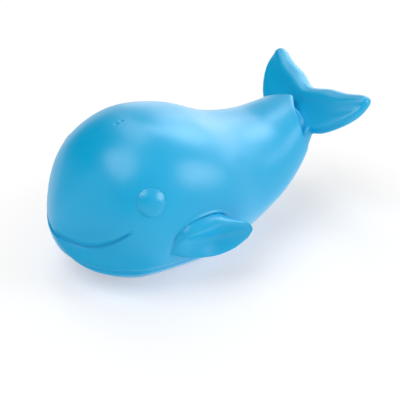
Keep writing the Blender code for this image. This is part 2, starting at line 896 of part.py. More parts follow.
def half_round(name, base, top, face, side, material):
    """A half-round block whose flat stands at x = face and whose round lies to one side."""
    profile = [(0.0, base), (BLOCK_RADIUS, base), (BLOCK_RADIUS, top), (0.0, top)]
    block = make_object(name, turned_mesh(profile, at_squeaker()), material)
    far = BLOCK_RADIUS + CUT_PAST
    low = Vector((face, SQUEAKER_Y - far, base - CUT_PAST))
    high = Vector((-side * far, SQUEAKER_Y + far, top + CUT_PAST))
    corner = Vector(map(min, low, high))
    other = Vector(map(max, low, high))
    add_boolean(block, make_object(name + "_flat", box_mesh(corner, other)), "DIFFERENCE")
    return block


def make_block(material):
    """The block under the reed: a channel in its flat leads down to a spigot."""
    block = half_round("reed_block", BLOCK_BASE, BLOCK_TOP, 0.0, -1.0, material)
    spigot_base = CUP_RECESS + CLEAR
    spigot_top = BLOCK_BASE + JOIN_INTO
    spigot = [(0.0, spigot_base), (SPIGOT_RADIUS, spigot_base)]
    spigot += [(SPIGOT_RADIUS, spigot_top), (0.0, spigot_top)]
    joined = make_object("spigot", turned_mesh(spigot, at_squeaker()))
    high = Vector((2.0 * SPIGOT_RADIUS, SQUEAKER_Y + 2.0 * SPIGOT_RADIUS, BLOCK_TOP))
    low = Vector((0.0, SQUEAKER_Y - 2.0 * SPIGOT_RADIUS, BLOCK_BASE))
    add_boolean(joined, make_object("spigot_flat", box_mesh(low, high)), "DIFFERENCE")
    add_boolean(block, joined, "UNION")
    half = 0.5 * CHANNEL_WIDTH
    low = Vector((-CHANNEL_DEPTH, SQUEAKER_Y - half, CLAMP_TOP - CHANNEL_START))
    high = Vector((CUT_PAST, SQUEAKER_Y + half, BLOCK_TOP - CHANNEL_END))
    add_boolean(block, make_object("channel", box_mesh(low, high)), "DIFFERENCE")
    hole = [(0.0, spigot_base - CUT_PAST), (AIR_HOLE_RADIUS, spigot_base - CUT_PAST)]
    hole += [(AIR_HOLE_RADIUS, CLAMP_TOP), (0.0, CLAMP_TOP)]
    place = at_squeaker() @ Matrix.Translation((AIR_HOLE_RADIUS - CHANNEL_DEPTH, 0.0, 0.0))
    add_boolean(block, make_object("air_hole", turned_mesh(hole, place, SMALL_STEPS)), "DIFFERENCE")
    return block


def make_reed(material):
    """The reed, with its origin where it bends at the top of the clamp."""
    bend = Vector((REED_FACE + 0.5 * REED_THICKNESS, SQUEAKER_Y, CLAMP_TOP))
    low = Vector((REED_FACE, SQUEAKER_Y - 0.5 * REED_WIDTH, BLOCK_BASE + REED_END))
    high = Vector((REED_FACE + REED_THICKNESS, SQUEAKER_Y + 0.5 * REED_WIDTH, BLOCK_TOP - REED_END))
    reed = make_object("reed_tongue", box_mesh(low - bend, high - bend), material)
    reed.location = bend
    return reed


def main():
    """Builds the whale and hangs what moves together on one empty."""
    clear_scene()
    vinyl = make_material("soft_vinyl", (0.04, 0.43, 0.78), 0.42)
    gloss = make_material("eye_vinyl", (0.06, 0.46, 0.80), 0.2)
    white = make_material("white_plastic", (0.85, 0.85, 0.82), 0.45)
    film = make_material("reed_film", (0.75, 0.62, 0.35), 0.3)

    envelope = make_envelope()
    skin = make_skin(vinyl)
    cut_mouth(skin)
    cut_blowhole(skin)
    moving = [skin]
    for name, side in (("left", 1.0), ("right", -1.0)):
        moving.append(make_eye(name + "_eye", side, skin, gloss))
        moving.append(make_flipper(name + "_flipper", side, skin, envelope, vinyl))
    moving.append(make_flukes(envelope, vinyl))

    pan = make_pan(vinyl)
    fit_boss(pan)
    make_cup(white)
    make_cap(white)
    make_block(white)
    half_round("reed_clamp", BLOCK_BASE, CLAMP_TOP, CLAMP_FACE, 1.0, white)
    make_reed(film)

    slide = bpy.data.objects.new("press_slide", None)
    bpy.context.scene.collection.objects.link(slide)
    for obj in moving:
        obj.parent = slide


main()
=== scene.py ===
"""Looks of a squeaky toy whale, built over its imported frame.

Units are metres and +Z is up. The nose points to -Y, the tail to +Y and the whale's left
side to +X. The soft vinyl mouldings are modelled here with their creases, rolled edges
and thin walls. The small rigid pieces of the squeaker keep the frame's own solids.
"""

from __future__ import annotations

import logging
import math
from dataclasses import dataclass
from enum import Enum
from functools import cached_property
from typing import Callable, Protocol, Sequence

import bmesh
import bpy
import numpy as np
from mathutils import Matrix, Vector


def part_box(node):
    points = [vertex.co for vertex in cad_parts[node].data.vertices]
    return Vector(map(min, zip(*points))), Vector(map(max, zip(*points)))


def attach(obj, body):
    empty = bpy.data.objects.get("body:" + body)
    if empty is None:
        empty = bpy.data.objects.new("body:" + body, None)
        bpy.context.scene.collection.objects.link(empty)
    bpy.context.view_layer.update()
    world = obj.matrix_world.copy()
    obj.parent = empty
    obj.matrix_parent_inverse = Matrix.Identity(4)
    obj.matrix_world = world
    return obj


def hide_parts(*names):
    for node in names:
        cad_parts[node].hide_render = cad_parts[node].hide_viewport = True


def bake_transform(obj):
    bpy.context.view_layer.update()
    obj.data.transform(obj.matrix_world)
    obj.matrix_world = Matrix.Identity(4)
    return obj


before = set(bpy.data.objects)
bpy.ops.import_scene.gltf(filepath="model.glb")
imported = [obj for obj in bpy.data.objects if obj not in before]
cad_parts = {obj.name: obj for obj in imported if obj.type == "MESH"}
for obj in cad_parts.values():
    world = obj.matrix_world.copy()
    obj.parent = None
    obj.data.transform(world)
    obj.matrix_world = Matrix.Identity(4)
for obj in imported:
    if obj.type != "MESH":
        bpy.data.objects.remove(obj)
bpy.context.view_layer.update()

MM = 0.001
CLEAR = 0.3 * MM
SHARP = math.radians(38.0)
WELD = 0.001 * MM
HALVINGS = 44
NOISE_ROUGHNESS = 0.55
LOG = logging.getLogger("whale")


class Side(Enum):
    """The whale's two sides, as the sign of x."""

    LEFT = 1.0
    RIGHT = -1.0

    @property
    def word(self) -> str:
        """The side's name as the frame's nodes have it."""
        return self.name.lower()

    def mirrored(self, points: np.ndarray) -> np.ndarray:
        """Points of the left side, moved to this side."""
        return points * (self.value, 1.0, 1.0)


# Curves and shapes of change


def spline(rows: np.ndarray, u: np.ndarray) -> np.ndarray:
    """Follows a smooth curve through rows of values.

    Args:
        rows: The values passed through; the first and last row only steer the ends.
        u: Places along the curve, 0 at the second row and 1 more at each row after it.

    Returns:
        The values at each place, in the last axis.
    """
    u = np.asarray(u, dtype=float)
    row = np.clip(np.floor(u).astype(int), 0, len(rows) - 4)
    t = (u - row)[..., None]
    a, b, c, d = (rows[row + k] for k in range(4))
    bend = 2.0 * a - 5.0 * b + 4.0 * c - d
    twist = 3.0 * b - a - 3.0 * c + d
    return b + 0.5 * t * ((c - a) + t * (bend + t * twist))


def solve(
    miss: Callable[[np.ndarray], np.ndarray], low: np.ndarray, high: np.ndarray
) -> np.ndarray:
    """Finds where rising functions cross zero, by halving.

    Args:
        miss: The functions, taken together.
        low: A place below each crossing.
        high: A place above each crossing.

    Returns:
        The place of each crossing.
    """
    for _ in range(HALVINGS):
        middle = 0.5 * (low + high)
        over = miss(middle) > 0.0
        high = np.where(over, middle, high)
        low = np.where(over, low, middle)
    return 0.5 * (low + high)


def swell(offset: np.ndarray, width: float) -> np.ndarray:
    """A round swelling, 1 in its middle and fading out past its width."""
    return np.exp(-((offset / width) ** 2))


def ease(value: np.ndarray, start: float, end: float) -> np.ndarray:
    """A smooth change from 0 at the start to 1 at the end."""
    share = np.clip((value - start) / (end - start), 0.0, 1.0)
    return share * share * (3.0 - 2.0 * share)


def banded(bands: Sequence[tuple[float, int]]) -> np.ndarray:
    """Spreads values over bands that each have their own spacing.

    Args:
        bands: The end of each band and its number of steps, the first band from zero.

    Returns:
        The values in order.
    """
    values = [np.zeros(1)]
    for end, count in bands:
        values.append(np.linspace(values[-1][-1], end, count + 1)[1:])
    return np.concatenate(values)


def nearest_on_path(
    points: np.ndarray, path: np.ndarray
) -> tuple[np.ndarray, np.ndarray, np.ndarray]:
    """Finds the nearest place on a path for each point.

    Args:
        points: One point in each row.
        path: The points of the path in order.

    Returns:
        The distances, the shares of the path's steps passed and the nearest points.
    """
    distance = np.full(len(points), np.inf)
    share = np.zeros(len(points))
    nearest = np.zeros_like(points)
    for step, (start, end) in enumerate(zip(path, path[1:])):
        way = end - start
        along = np.clip((points - start) @ way / (way @ way), 0.0, 1.0)
        place = start + along[:, None] * way
        gap = np.linalg.norm(points - place, axis=1)
        closer = gap < distance
        distance[closer] = gap[closer]
        share[closer] = (step + along[closer]) / (len(path) - 1)
        nearest[closer] = place[closer]
    return distance, share, nearest


# Making meshes


def add_rings(bm: bmesh.types.BMesh, rings: np.ndarray, crease: np.ndarray | None = None) -> None:
    """Adds faces between closed rings of points to a mesh.

    Args:
        bm: The mesh to add to.
        rings: Points by ring and step.
        crease: How deep in a crease each point lies, from 0 to 1; the finish darkens the colour by
            this as painted shade.
    """
    count, steps, _ = rings.shape
    index = np.arange(count * steps).reshape(count, steps)
    after = np.roll(index, -1, axis=1)
    quads = np.stack([index[:-1], after[:-1], after[1:], index[1:]], axis=-1).reshape(-1, 4)
    mesh = bpy.data.meshes.new("rings")
    mesh.from_pydata(rings.reshape(-1, 3).tolist(), [], quads.tolist())
    depth = np.zeros(count * steps) if crease is None else crease.ravel()
    # The crease depth goes with the mesh, so the finish can darken the creases with painted shade.
    layer = mesh.attributes.new("crease", "FLOAT", "POINT")
    layer.data.foreach_set("value", depth.astype(np.float32))
    bm.from_mesh(mesh)
    bpy.data.meshes.remove(mesh)


def close_mesh(bm: bmesh.types.BMesh) -> None:
    """Merges equal points, fills the open ends and turns the faces outwards."""
    bmesh.ops.remove_doubles(bm, verts=bm.verts, dist=WELD)
    bmesh.ops.holes_fill(bm, edges=[edge for edge in bm.edges if edge.is_boundary], sides=0)
    bmesh.ops.recalc_face_normals(bm, faces=bm.faces)


def make_object(name: str, bm: bmesh.types.BMesh) -> bpy.types.Object:
    """Turns a mesh into an object of the scene.

    Args:
        name: The object's name.
        bm: The mesh, which is used up.

    Returns:
        The object, shaded smooth with its sharp edges kept.
    """
    mesh = bpy.data.meshes.new(name)
    bm.to_mesh(mesh)
    bm.free()
    mesh.shade_smooth()
    mesh.set_sharp_from_angle(angle=SHARP)
    obj = bpy.data.objects.new(name, mesh)
    bpy.context.scene.collection.objects.link(obj)
    return obj


def ring_solid(name: str, *ring_sets: np.ndarray) -> bpy.types.Object:
    """Makes a closed solid from one or more sets of rings.

    Args:
        name: The object's name.
        ring_sets: Points by ring and step, for each shape.

    Returns:
        The solid.
    """
    bm = bmesh.new()
    for rings in ring_sets:
        add_rings(bm, rings)
    close_mesh(bm)
    return make_object(name, bm)


def turned_rings(
    profile: Sequence[tuple[float, float]], place: Matrix, steps: int = 96
) -> np.ndarray:
    """Turns a profile round an axis.

    Args:
        profile: Radius and height of each point; one that starts off the axis is closed up.
        place: Where the axis stands.
        steps: Points in each ring.

    Returns:
        Points by ring and step.
    """
    outline = np.array(profile)
    if outline[0, 0] > 0.0:
        outline = np.vstack([outline, outline[:1]])
    turn = np.linspace(0.0, 2.0 * math.pi, steps, endpoint=False)
    radius = outline[:, :1]
    height = np.repeat(outline[:, 1:], steps, axis=1)
    points = np.stack([radius * np.cos(turn), radius * np.sin(turn), height], axis=-1)
    matrix = np.array(place)
    return points @ matrix[:3, :3].T + matrix[:3, 3]


def filleted(
    corners: Sequence[tuple[float, float, float]], steps: int = 5
) -> list[tuple[float, float]]:
    """Rounds the corners of a profile.

    Args:
        corners: Radius, height and rounding of each corner.
        steps: Segments in each rounded corner.

    Returns:
        Radius and height of each point of the rounded profile.
    """
    points = [Vector(corner[:2]) for corner in corners]
    made = []
    for k, (point, corner) in enumerate(zip(points, corners)):
        if corner[2] == 0.0:
            made.append(tuple(point))
            continue
        start = point + corner[2] * (points[k - 1] - point).normalized()
        end = point + corner[2] * (points[(k + 1) % len(points)] - point).normalized()
        for step in range(steps + 1):
            t = step / steps
            made.append(tuple(start.lerp(point, t).lerp(point.lerp(end, t), t)))
    return made


def carve(obj: bpy.types.Object, other: bpy.types.Object, operation: str = "DIFFERENCE") -> None:
    """Cuts or joins another solid for good, and removes that one.

    Args:
        obj: The solid to change.
        other: The solid to cut away or join.
        operation: Which of the two, as the Boolean modifier names it.
    """
    change = obj.modifiers.new("carve", "BOOLEAN")
    change.operation = operation
    change.solver = "EXACT"
    change.object = other
    evaluated = obj.evaluated_get(bpy.context.evaluated_depsgraph_get())
    mesh = bpy.data.meshes.new_from_object(evaluated)
    obj.modifiers.clear()
    mesh.set_sharp_from_angle(angle=SHARP)
    obj.data = mesh
    bpy.data.objects.remove(other)


def frame_on(point: np.ndarray, normal: np.ndarray) -> Matrix:
    """A placing whose Z axis leaves the point along the normal."""
    turn = Vector(normal).to_track_quat("Z", "Y").to_matrix().to_4x4()
    return Matrix.Translation(Vector(point)) @ turn


# The body's form


@dataclass(frozen=True)
class BodyLines:
    """The outer form of the whale's body, without its flippers and flukes.

    A place on it is a station, 0 at the nose and one more at each row of the table, and
    an angle round the body: 0 on the back, pi / 2 at the left and pi at the keel. The
    table is in drawing units: the back's y and z, the keel's y and z, half the breadth.
    Places on the flank and on the nose are looked for between the stations named so.
    """

    length: float = 147.1 * MM
    height: float = 81.0 * MM
    breadth: float = 86.0 * MM
    breadth_share: float = 0.46
    fullness: float = 2.15
    flank_from: float = 0.3
    nose_from: float = 0.02
    nose_to: float = 3.0
    keel_steps: int = 801
    stations: tuple[tuple[float, ...], ...] = (
        (-81.9, 29.3, -81.9, 29.3, 0.0),
        (-72.4, 53.8, -72.7, 10.2, 24.2),
        (-59.1, 70.9, -54.2, 0.0, 38.1),
        (-36.9, 78.9, -31.5, -2.1, 43.0),
        (-11.4, 74.1, -5.4, -1.4, 42.1),
        (11.8, 63.2, 15.4, 5.3, 34.6),
        (31.8, 58.6, 36.2, 14.2, 28.8),
        (46.5, 59.7, 52.7, 25.8, 22.3),
        (56.5, 61.6, 65.2, 42.2, 16.3),
    )

    @cached_property
    def rows(self) -> np.ndarray:
        """The stations to scale, with a steering row before the nose and after the tail."""
        drawn = np.array(self.stations)
        long = self.length / np.ptp(drawn[:, [0, 2]])
        high = self.height / np.ptp(drawn[:, [1, 3]])
        broad = 0.5 * self.breadth / np.ptp(drawn[:, 4])
        rows = drawn * (long, high, long, high, broad)
        before = rows[1, [2, 3, 0, 1, 4]] * (1.0, 1.0, 1.0, 1.0, -1.0)
        after = 2.0 * rows[-1] - rows[-2]
        return np.vstack([before, rows, after])

    @property
    def tail_end(self) -> float:
        """The station at the open end of the tail stalk."""
        return float(len(self.stations) - 1)

    @property
    def nose_y(self) -> float:
        """The y of the tip of the nose."""
        return float(self.rows[1, 0])

    def section(self, u: np.ndarray) -> tuple[np.ndarray, np.ndarray, np.ndarray, np.ndarray]:
        """Gives the section at a station.

        Args:
            u: Stations.

        Returns:
            y and z of the back, of the keel and of the widest height, and half the breadth.
        """
        row = spline(self.rows, u)
        back = row[..., 0:2]
        keel = row[..., 2:4]
        return back, keel, keel + self.breadth_share * (back - keel), row[..., 4]

    def points(self, u: np.ndarray, angle: np.ndarray) -> np.ndarray:
        """Gives points of the surface.

        Args:
            u: Stations.
            angle: Angles round the body.

        Returns:
            The points, in the last axis.
        """
        u, angle = np.broadcast_arrays(u, angle)
        back, keel, centre, half = self.section(u)
        power = 2.0 / self.fullness
        along = np.abs(np.cos(angle)) ** power
        across = np.sign(np.sin(angle)) * np.abs(np.sin(angle)) ** power
        end = np.where((np.cos(angle) >= 0.0)[..., None], back, keel)
        profile = centre + along[..., None] * (end - centre)
        return np.concatenate([(half * across)[..., None], profile], axis=-1)

    def normals(self, u: np.ndarray, angle: np.ndarray) -> np.ndarray:
        """Gives the outward directions of the surface.

        Args:
            u: Stations.
            angle: Angles round the body.

        Returns:
            Unit vectors, in the last axis.
        """
        step = 0.01
        u = np.maximum(u, 2.0 * step)
        turn = self.points(u, angle + step) - self.points(u, angle - step)
        run = self.points(u + step, angle) - self.points(u - step, angle)
        normal = np.cross(turn, run)
        return normal / np.linalg.norm(normal, axis=-1, keepdims=True)

    def inside(self, u: np.ndarray, angle: np.ndarray, depth: np.ndarray | float) -> np.ndarray:
        """Points this deep under the surface."""
        return self.points(u, angle) - np.asarray(depth)[..., None] * self.normals(u, angle)

    def angle_at_height(self, u: np.ndarray, z: np.ndarray | float) -> np.ndarray:
        """Finds where sections reach a height on the left side.

        Args:
            u: Stations.
            z: Heights.

        Returns:
            The angles.
        """
        back, keel, centre, _ = self.section(u)
        rise = z - centre[..., 1]
        reach = np.where(rise >= 0.0, back[..., 1] - centre[..., 1], centre[..., 1] - keel[..., 1])
        share = np.clip(np.abs(rise) / np.maximum(reach, 1e-9), 0.0, 1.0)
        return np.arccos(np.sign(rise) * share ** (0.5 * self.fullness))

    def on_flank(self, y: np.ndarray, z: np.ndarray) -> tuple[np.ndarray, np.ndarray]:
        """Finds points of the left flank by their y and z.

        Args:
            y: The points' y.
            z: The points' z.

        Returns:
            Their stations and angles.
        """

        def miss(u: np.ndarray) -> np.ndarray:
            """How far the station at this height lies behind y."""
            return self.points(u, self.angle_at_height(u, z))[..., 1] - y

        u = solve(miss, np.full_like(y, self.flank_from), np.full_like(y, self.tail_end))
        return u, self.angle_at_height(u, z)

    def flank_place(self, behind_nose: float, z: float) -> tuple[np.ndarray, np.ndarray]:
        """Finds a place on the left flank.

        Args:
            behind_nose: How far it lies behind the tip of the nose.
            z: Its height.

        Returns:
            The point and its outward direction.
        """
        u, angle = self.on_flank(np.array([self.nose_y + behind_nose]), np.array([z]))
        return self.points(u, angle)[0], self.normals(u, angle)[0]

    def on_nose(self, x: np.ndarray, z: np.ndarray) -> tuple[np.ndarray, np.ndarray]:
        """Finds points of the nose's left side by their x and z.

        Args:
            x: The points' x.
            z: The points' z.

        Returns:
            Their stations and angles.
        """

        def miss(u: np.ndarray) -> np.ndarray:
            """How far the station at this height lies beside x."""
            return self.points(u, self.angle_at_height(u, z))[..., 0] - x

        u = solve(miss, np.full_like(x, self.nose_from), np.full_like(x, self.nose_to))
        return u, self.angle_at_height(u, z)

    def on_back(self, y: float) -> np.ndarray:
        """The point of the back at this y."""
        u = solve(lambda v: self.section(v)[0][..., 0] - y, np.zeros(1), np.full(1, self.tail_end))
        return self.points(u, np.zeros(1))[0]

    def keel_ends(self, z: float) -> tuple[float, float]:
        """Finds where the keel passes a height.

        Args:
            z: The height.

        Returns:
            The stations before and behind the keel's lowest point.
        """
        steps = np.linspace(0.0, self.tail_end, self.keel_steps)
        lowest = steps[np.argmin(self.section(steps)[1][:, 1])]
        front = solve(lambda v: z - self.section(v)[1][..., 1], np.zeros(1), np.full(1, lowest))
        rear = solve(
            lambda v: self.section(v)[1][..., 1] - z, np.full(1, lowest), np.full(1, self.tail_end)
        )
        return float(front[0]), float(rear[0])

    def end_way(self) -> np.ndarray:
        """The direction in which the open end of the tail stalk faces."""
        back, keel, _, _ = self.section(np.array(self.tail_end))
        rise = back - keel
        return np.array((0.0, rise[1], -rise[0])) / np.linalg.norm(rise)


# What is moulded into the skin


class Relief(Protocol):
    """Something moulded into the skin, the same on both sides."""

    def lift(self, points: np.ndarray) -> np.ndarray:
        """How far points of the left side stand out from the body's lines."""


@dataclass(frozen=True)
class Mouth:
    """The smile: the upper lip overhangs a slanting face that ends on the lower lip."""

    lines: BodyLines
    height: float = 30.8 * MM
    rise: float = 11.4 * MM
    curve: float = 4.6
    half_width: float = 35.5 * MM
    step: float = 0.9 * MM
    step_width: float = 2.6 * MM
    corner_width: float = 1.0 * MM
    lip_width: float = 1.2 * MM
    groove: float = 0.1 * MM
    groove_below: float = 0.5 * MM
    groove_width: float = 0.6 * MM
    upper_lip: float = 0.15 * MM
    upper_lip_above: float = 1.0 * MM
    upper_lip_width: float = 0.9 * MM
    lower_lip: float = 0.2 * MM
    lower_lip_width: float = 0.8 * MM
    narrows: tuple[float, float] = (0.4, 0.95)
    fades: tuple[float, float] = (0.93, 1.0)
    middle: float = 0.003
    steps: int = 70

    @cached_property
    def path(self) -> np.ndarray:
        """The smile's left half, from the middle of the nose to the corner."""
        share = np.linspace(0.0, 1.0, self.steps)
        x = np.maximum(share, self.middle) * self.half_width
        z = self.height + self.rise * share**self.curve
        return self.lines.points(*self.lines.on_nose(x, z))

    def lift(self, points: np.ndarray) -> np.ndarray:
        """How far the skin stands out here.

        Args:
            points: Points of the left side.

        Returns:
            The lift of each point.
        """
        distance, share, nearest = nearest_on_path(points, self.path)
        above = np.where(points[:, 2] >= nearest[:, 2], distance, -distance)
        fade = 1.0 - ease(share, *self.fades)
        narrowing = ease(share, *self.narrows) * (self.corner_width - self.step_width)
        width = self.step_width + narrowing
        slant = np.clip(-above / width, 0.0, 1.0)
        face = self.step * slant * (1.0 - ease((-above - width) / self.lip_width, 0.0, 1.0))
        groove = self.groove * swell(above + self.groove_below, self.groove_width)
        upper = self.upper_lip * swell(above - self.upper_lip_above, self.upper_lip_width)
        lower = self.lower_lip * swell(above + width + self.lip_width, self.lower_lip_width)
        return fade * (upper + lower - face - groove)


@dataclass(frozen=True)
class EyeSeat:
    """The round seat sunk into the skin for an eye."""

    lines: BodyLines
    behind_nose: float = 30.9 * MM
    height: float = 53.6 * MM
    radius: float = 6.9 * MM
    play: float = 0.05 * MM
    floor: float = -1.0 * MM

    @cached_property
    def place(self) -> tuple[np.ndarray, np.ndarray]:
        """The point of the left flank under the eye's middle, and its outward direction."""
        return self.lines.flank_place(self.behind_nose, self.height)


@dataclass(frozen=True)
class Blowhole:
    """Two small pits on the back, each with a raised edge."""

    lines: BodyLines
    behind_nose: tuple[float, ...] = (35.5 * MM, 38.3 * MM)
    pit: float = 0.45 * MM
    pit_radius: float = 0.8 * MM
    edge: float = 0.12 * MM
    edge_radius: float = 1.4 * MM
    edge_width: float = 0.45 * MM

    def lift(self, points: np.ndarray) -> np.ndarray:
        """How far the skin stands out here.

        Args:
            points: Points of the left side.

        Returns:
            The lift of each point.
        """
        total = np.zeros(len(points))
        for behind in self.behind_nose:
            away = np.linalg.norm(points - self.lines.on_back(self.lines.nose_y + behind), axis=1)
            total += self.edge * swell(away - self.edge_radius, self.edge_width)
            total -= self.pit * swell(away, self.pit_radius)
        return total


@dataclass(frozen=True)
class FlipperFold:
    """The fold of skin over a flipper's root: a soft ridge with a crease under it."""

    lines: BodyLines
    ridge: float = 0.6 * MM
    ridge_width: float = 0.85 * MM
    crease: float = 0.1 * MM
    crease_below: float = 1.3 * MM
    crease_width: float = 0.8 * MM
    front: float = 0.5 * MM
    front_width: float = 1.4 * MM
    rises: tuple[float, float] = (0.2, 0.42)
    fades: tuple[float, float] = (0.84, 1.0)
    front_rises: tuple[float, float] = (0.0, 0.12)
    front_fades: tuple[float, float] = (0.25, 0.5)
    steps: int = 60
    course: tuple[tuple[float, float], ...] = (
        (-43.7, 20.0),
        (-43.5, 24.3),
        (-43.4, 28.8),
        (-42.1, 33.0),
        (-40.5, 35.8),
        (-38.4, 38.0),
        (-34.8, 40.0),
        (-30.8, 41.1),
        (-26.0, 41.3),
        (-21.0, 41.1),
        (-17.0, 39.9),
        (-13.8, 37.9),
        (-11.5, 36.5),
        (-10.0, 34.5),
    )

    @cached_property
    def path(self) -> np.ndarray:
        """The fold's line on the left flank, from its front end over the flipper."""
        drawn = np.array(self.course) * MM
        steered = np.vstack([2.0 * drawn[0] - drawn[1], drawn, 2.0 * drawn[-1] - drawn[-2]])
        line = spline(steered, np.linspace(0.0, len(drawn) - 1.0, self.steps))
        return self.lines.points(*self.lines.on_flank(line[:, 0], line[:, 1]))

    def lift(self, points: np.ndarray) -> np.ndarray:
        """How far the skin stands out here.

        Args:
            points: Points of the left side.

        Returns:
            The lift of each point.
        """
        distance, share, nearest = nearest_on_path(points, self.path)
        last = len(self.path) - 1
        step = (share * last).astype(int)
        way = self.path[np.minimum(step + 1, last)] - self.path[np.maximum(step - 1, 0)]
        offset = points - nearest
        outer = way[:, 1] * offset[:, 2] - way[:, 2] * offset[:, 1] >= 0.0
        above = np.where(outer, distance, -distance)
        fade = ease(share, *self.rises) * (1.0 - ease(share, *self.fades))
        ridge = self.ridge * swell(above, self.ridge_width)
        crease = self.crease * swell(above + self.crease_below, self.crease_width)
        start = ease(share, *self.front_rises) * (1.0 - ease(share, *self.front_fades))
        return fade * (ridge - crease) - start * self.front * swell(above, self.front_width)


@dataclass(frozen=True)
class SeamRoll:
    """The rolled-in lower edge of the skin along the seam, under a slight bead."""

    seam_z: float
    depth: float = 0.6 * MM
    height: float = 1.2 * MM
    bead: float = 0.22 * MM
    bead_above: float = 1.9 * MM
    bead_width: float = 0.8 * MM

    def lift(self, points: np.ndarray) -> np.ndarray:
        """How far the skin stands out here.

        Args:
            points: Points of the left side.

        Returns:
            The lift of each point, less than nothing along the edge.
        """
        above = points[:, 2] - self.seam_z
        share = np.clip(1.0 - above / self.height, 0.0, 1.0)
        bead = self.bead * swell(above - self.bead_above, self.bead_width)
        return bead - self.depth * (1.0 - np.sqrt(1.0 - share**2))


# Finishes


class Graph:
    """A node tree with short ways to add and join nodes."""

    def __init__(self, tree: bpy.types.NodeTree) -> None:
        """Takes the tree to write in."""
        self.tree = tree

    def add(self, kind: str, **settings: object) -> bpy.types.Node:
        """Adds a node.

        Args:
            kind: The node's type.
            settings: Properties, or values of inputs by their name with _ for a space.

        Returns:
            The node.
        """
        node = self.tree.nodes.new(kind)
        for name, value in settings.items():
            socket = node.inputs.get(name.replace("_", " "))
            if socket is None:
                setattr(node, name, value)
            else:
                socket.default_value = value
        return node

    def join(self, source: bpy.types.NodeSocket, target: bpy.types.NodeSocket) -> None:
        """Links two sockets."""
        self.tree.links.new(source, target)

    def math(self, operation: str, *values: bpy.types.NodeSocket | float) -> bpy.types.NodeSocket:
        """Adds a sum.

        Args:
            operation: The sum's name.
            values: A socket or a number for each of its inputs.

        Returns:
            The socket of its result.
        """
        node = self.add("ShaderNodeMath", operation=operation)
        for socket, value in zip(node.inputs, values):
            if isinstance(value, bpy.types.NodeSocket):
                self.join(value, socket)
            else:
                socket.default_value = value
        return node.outputs[0]

    def noise(self, scale: bpy.types.NodeSocket | float, detail: float) -> bpy.types.NodeSocket:
        """Adds noise in the object's own frame.

        Args:
            scale: Its fineness, per metre.
            detail: How many finer layers it has.

        Returns:
            The socket of its value, about 0.5 in the middle.
        """
        place = self.add("ShaderNodeTexCoord")
        node = self.add("ShaderNodeTexNoise", Detail=detail, Roughness=NOISE_ROUGHNESS)
        self.join(place.outputs["Object"], node.inputs["Vector"])
        if isinstance(scale, bpy.types.NodeSocket):
            self.join(scale, node.inputs["Scale"])
        else:
            node.inputs["Scale"].default_value = scale
        return node.outputs[0]


def node_material(name: str) -> tuple[bpy.types.Material, Graph, bpy.types.Node]:
    """Starts a material.

    Args:
        name: Its name.

    Returns:
        The material, its graph and its shader.
    """
    made = bpy.data.materials.new(name)
    made.use_nodes = True
    return made, Graph(made.node_tree), made.node_tree.nodes["Principled BSDF"]


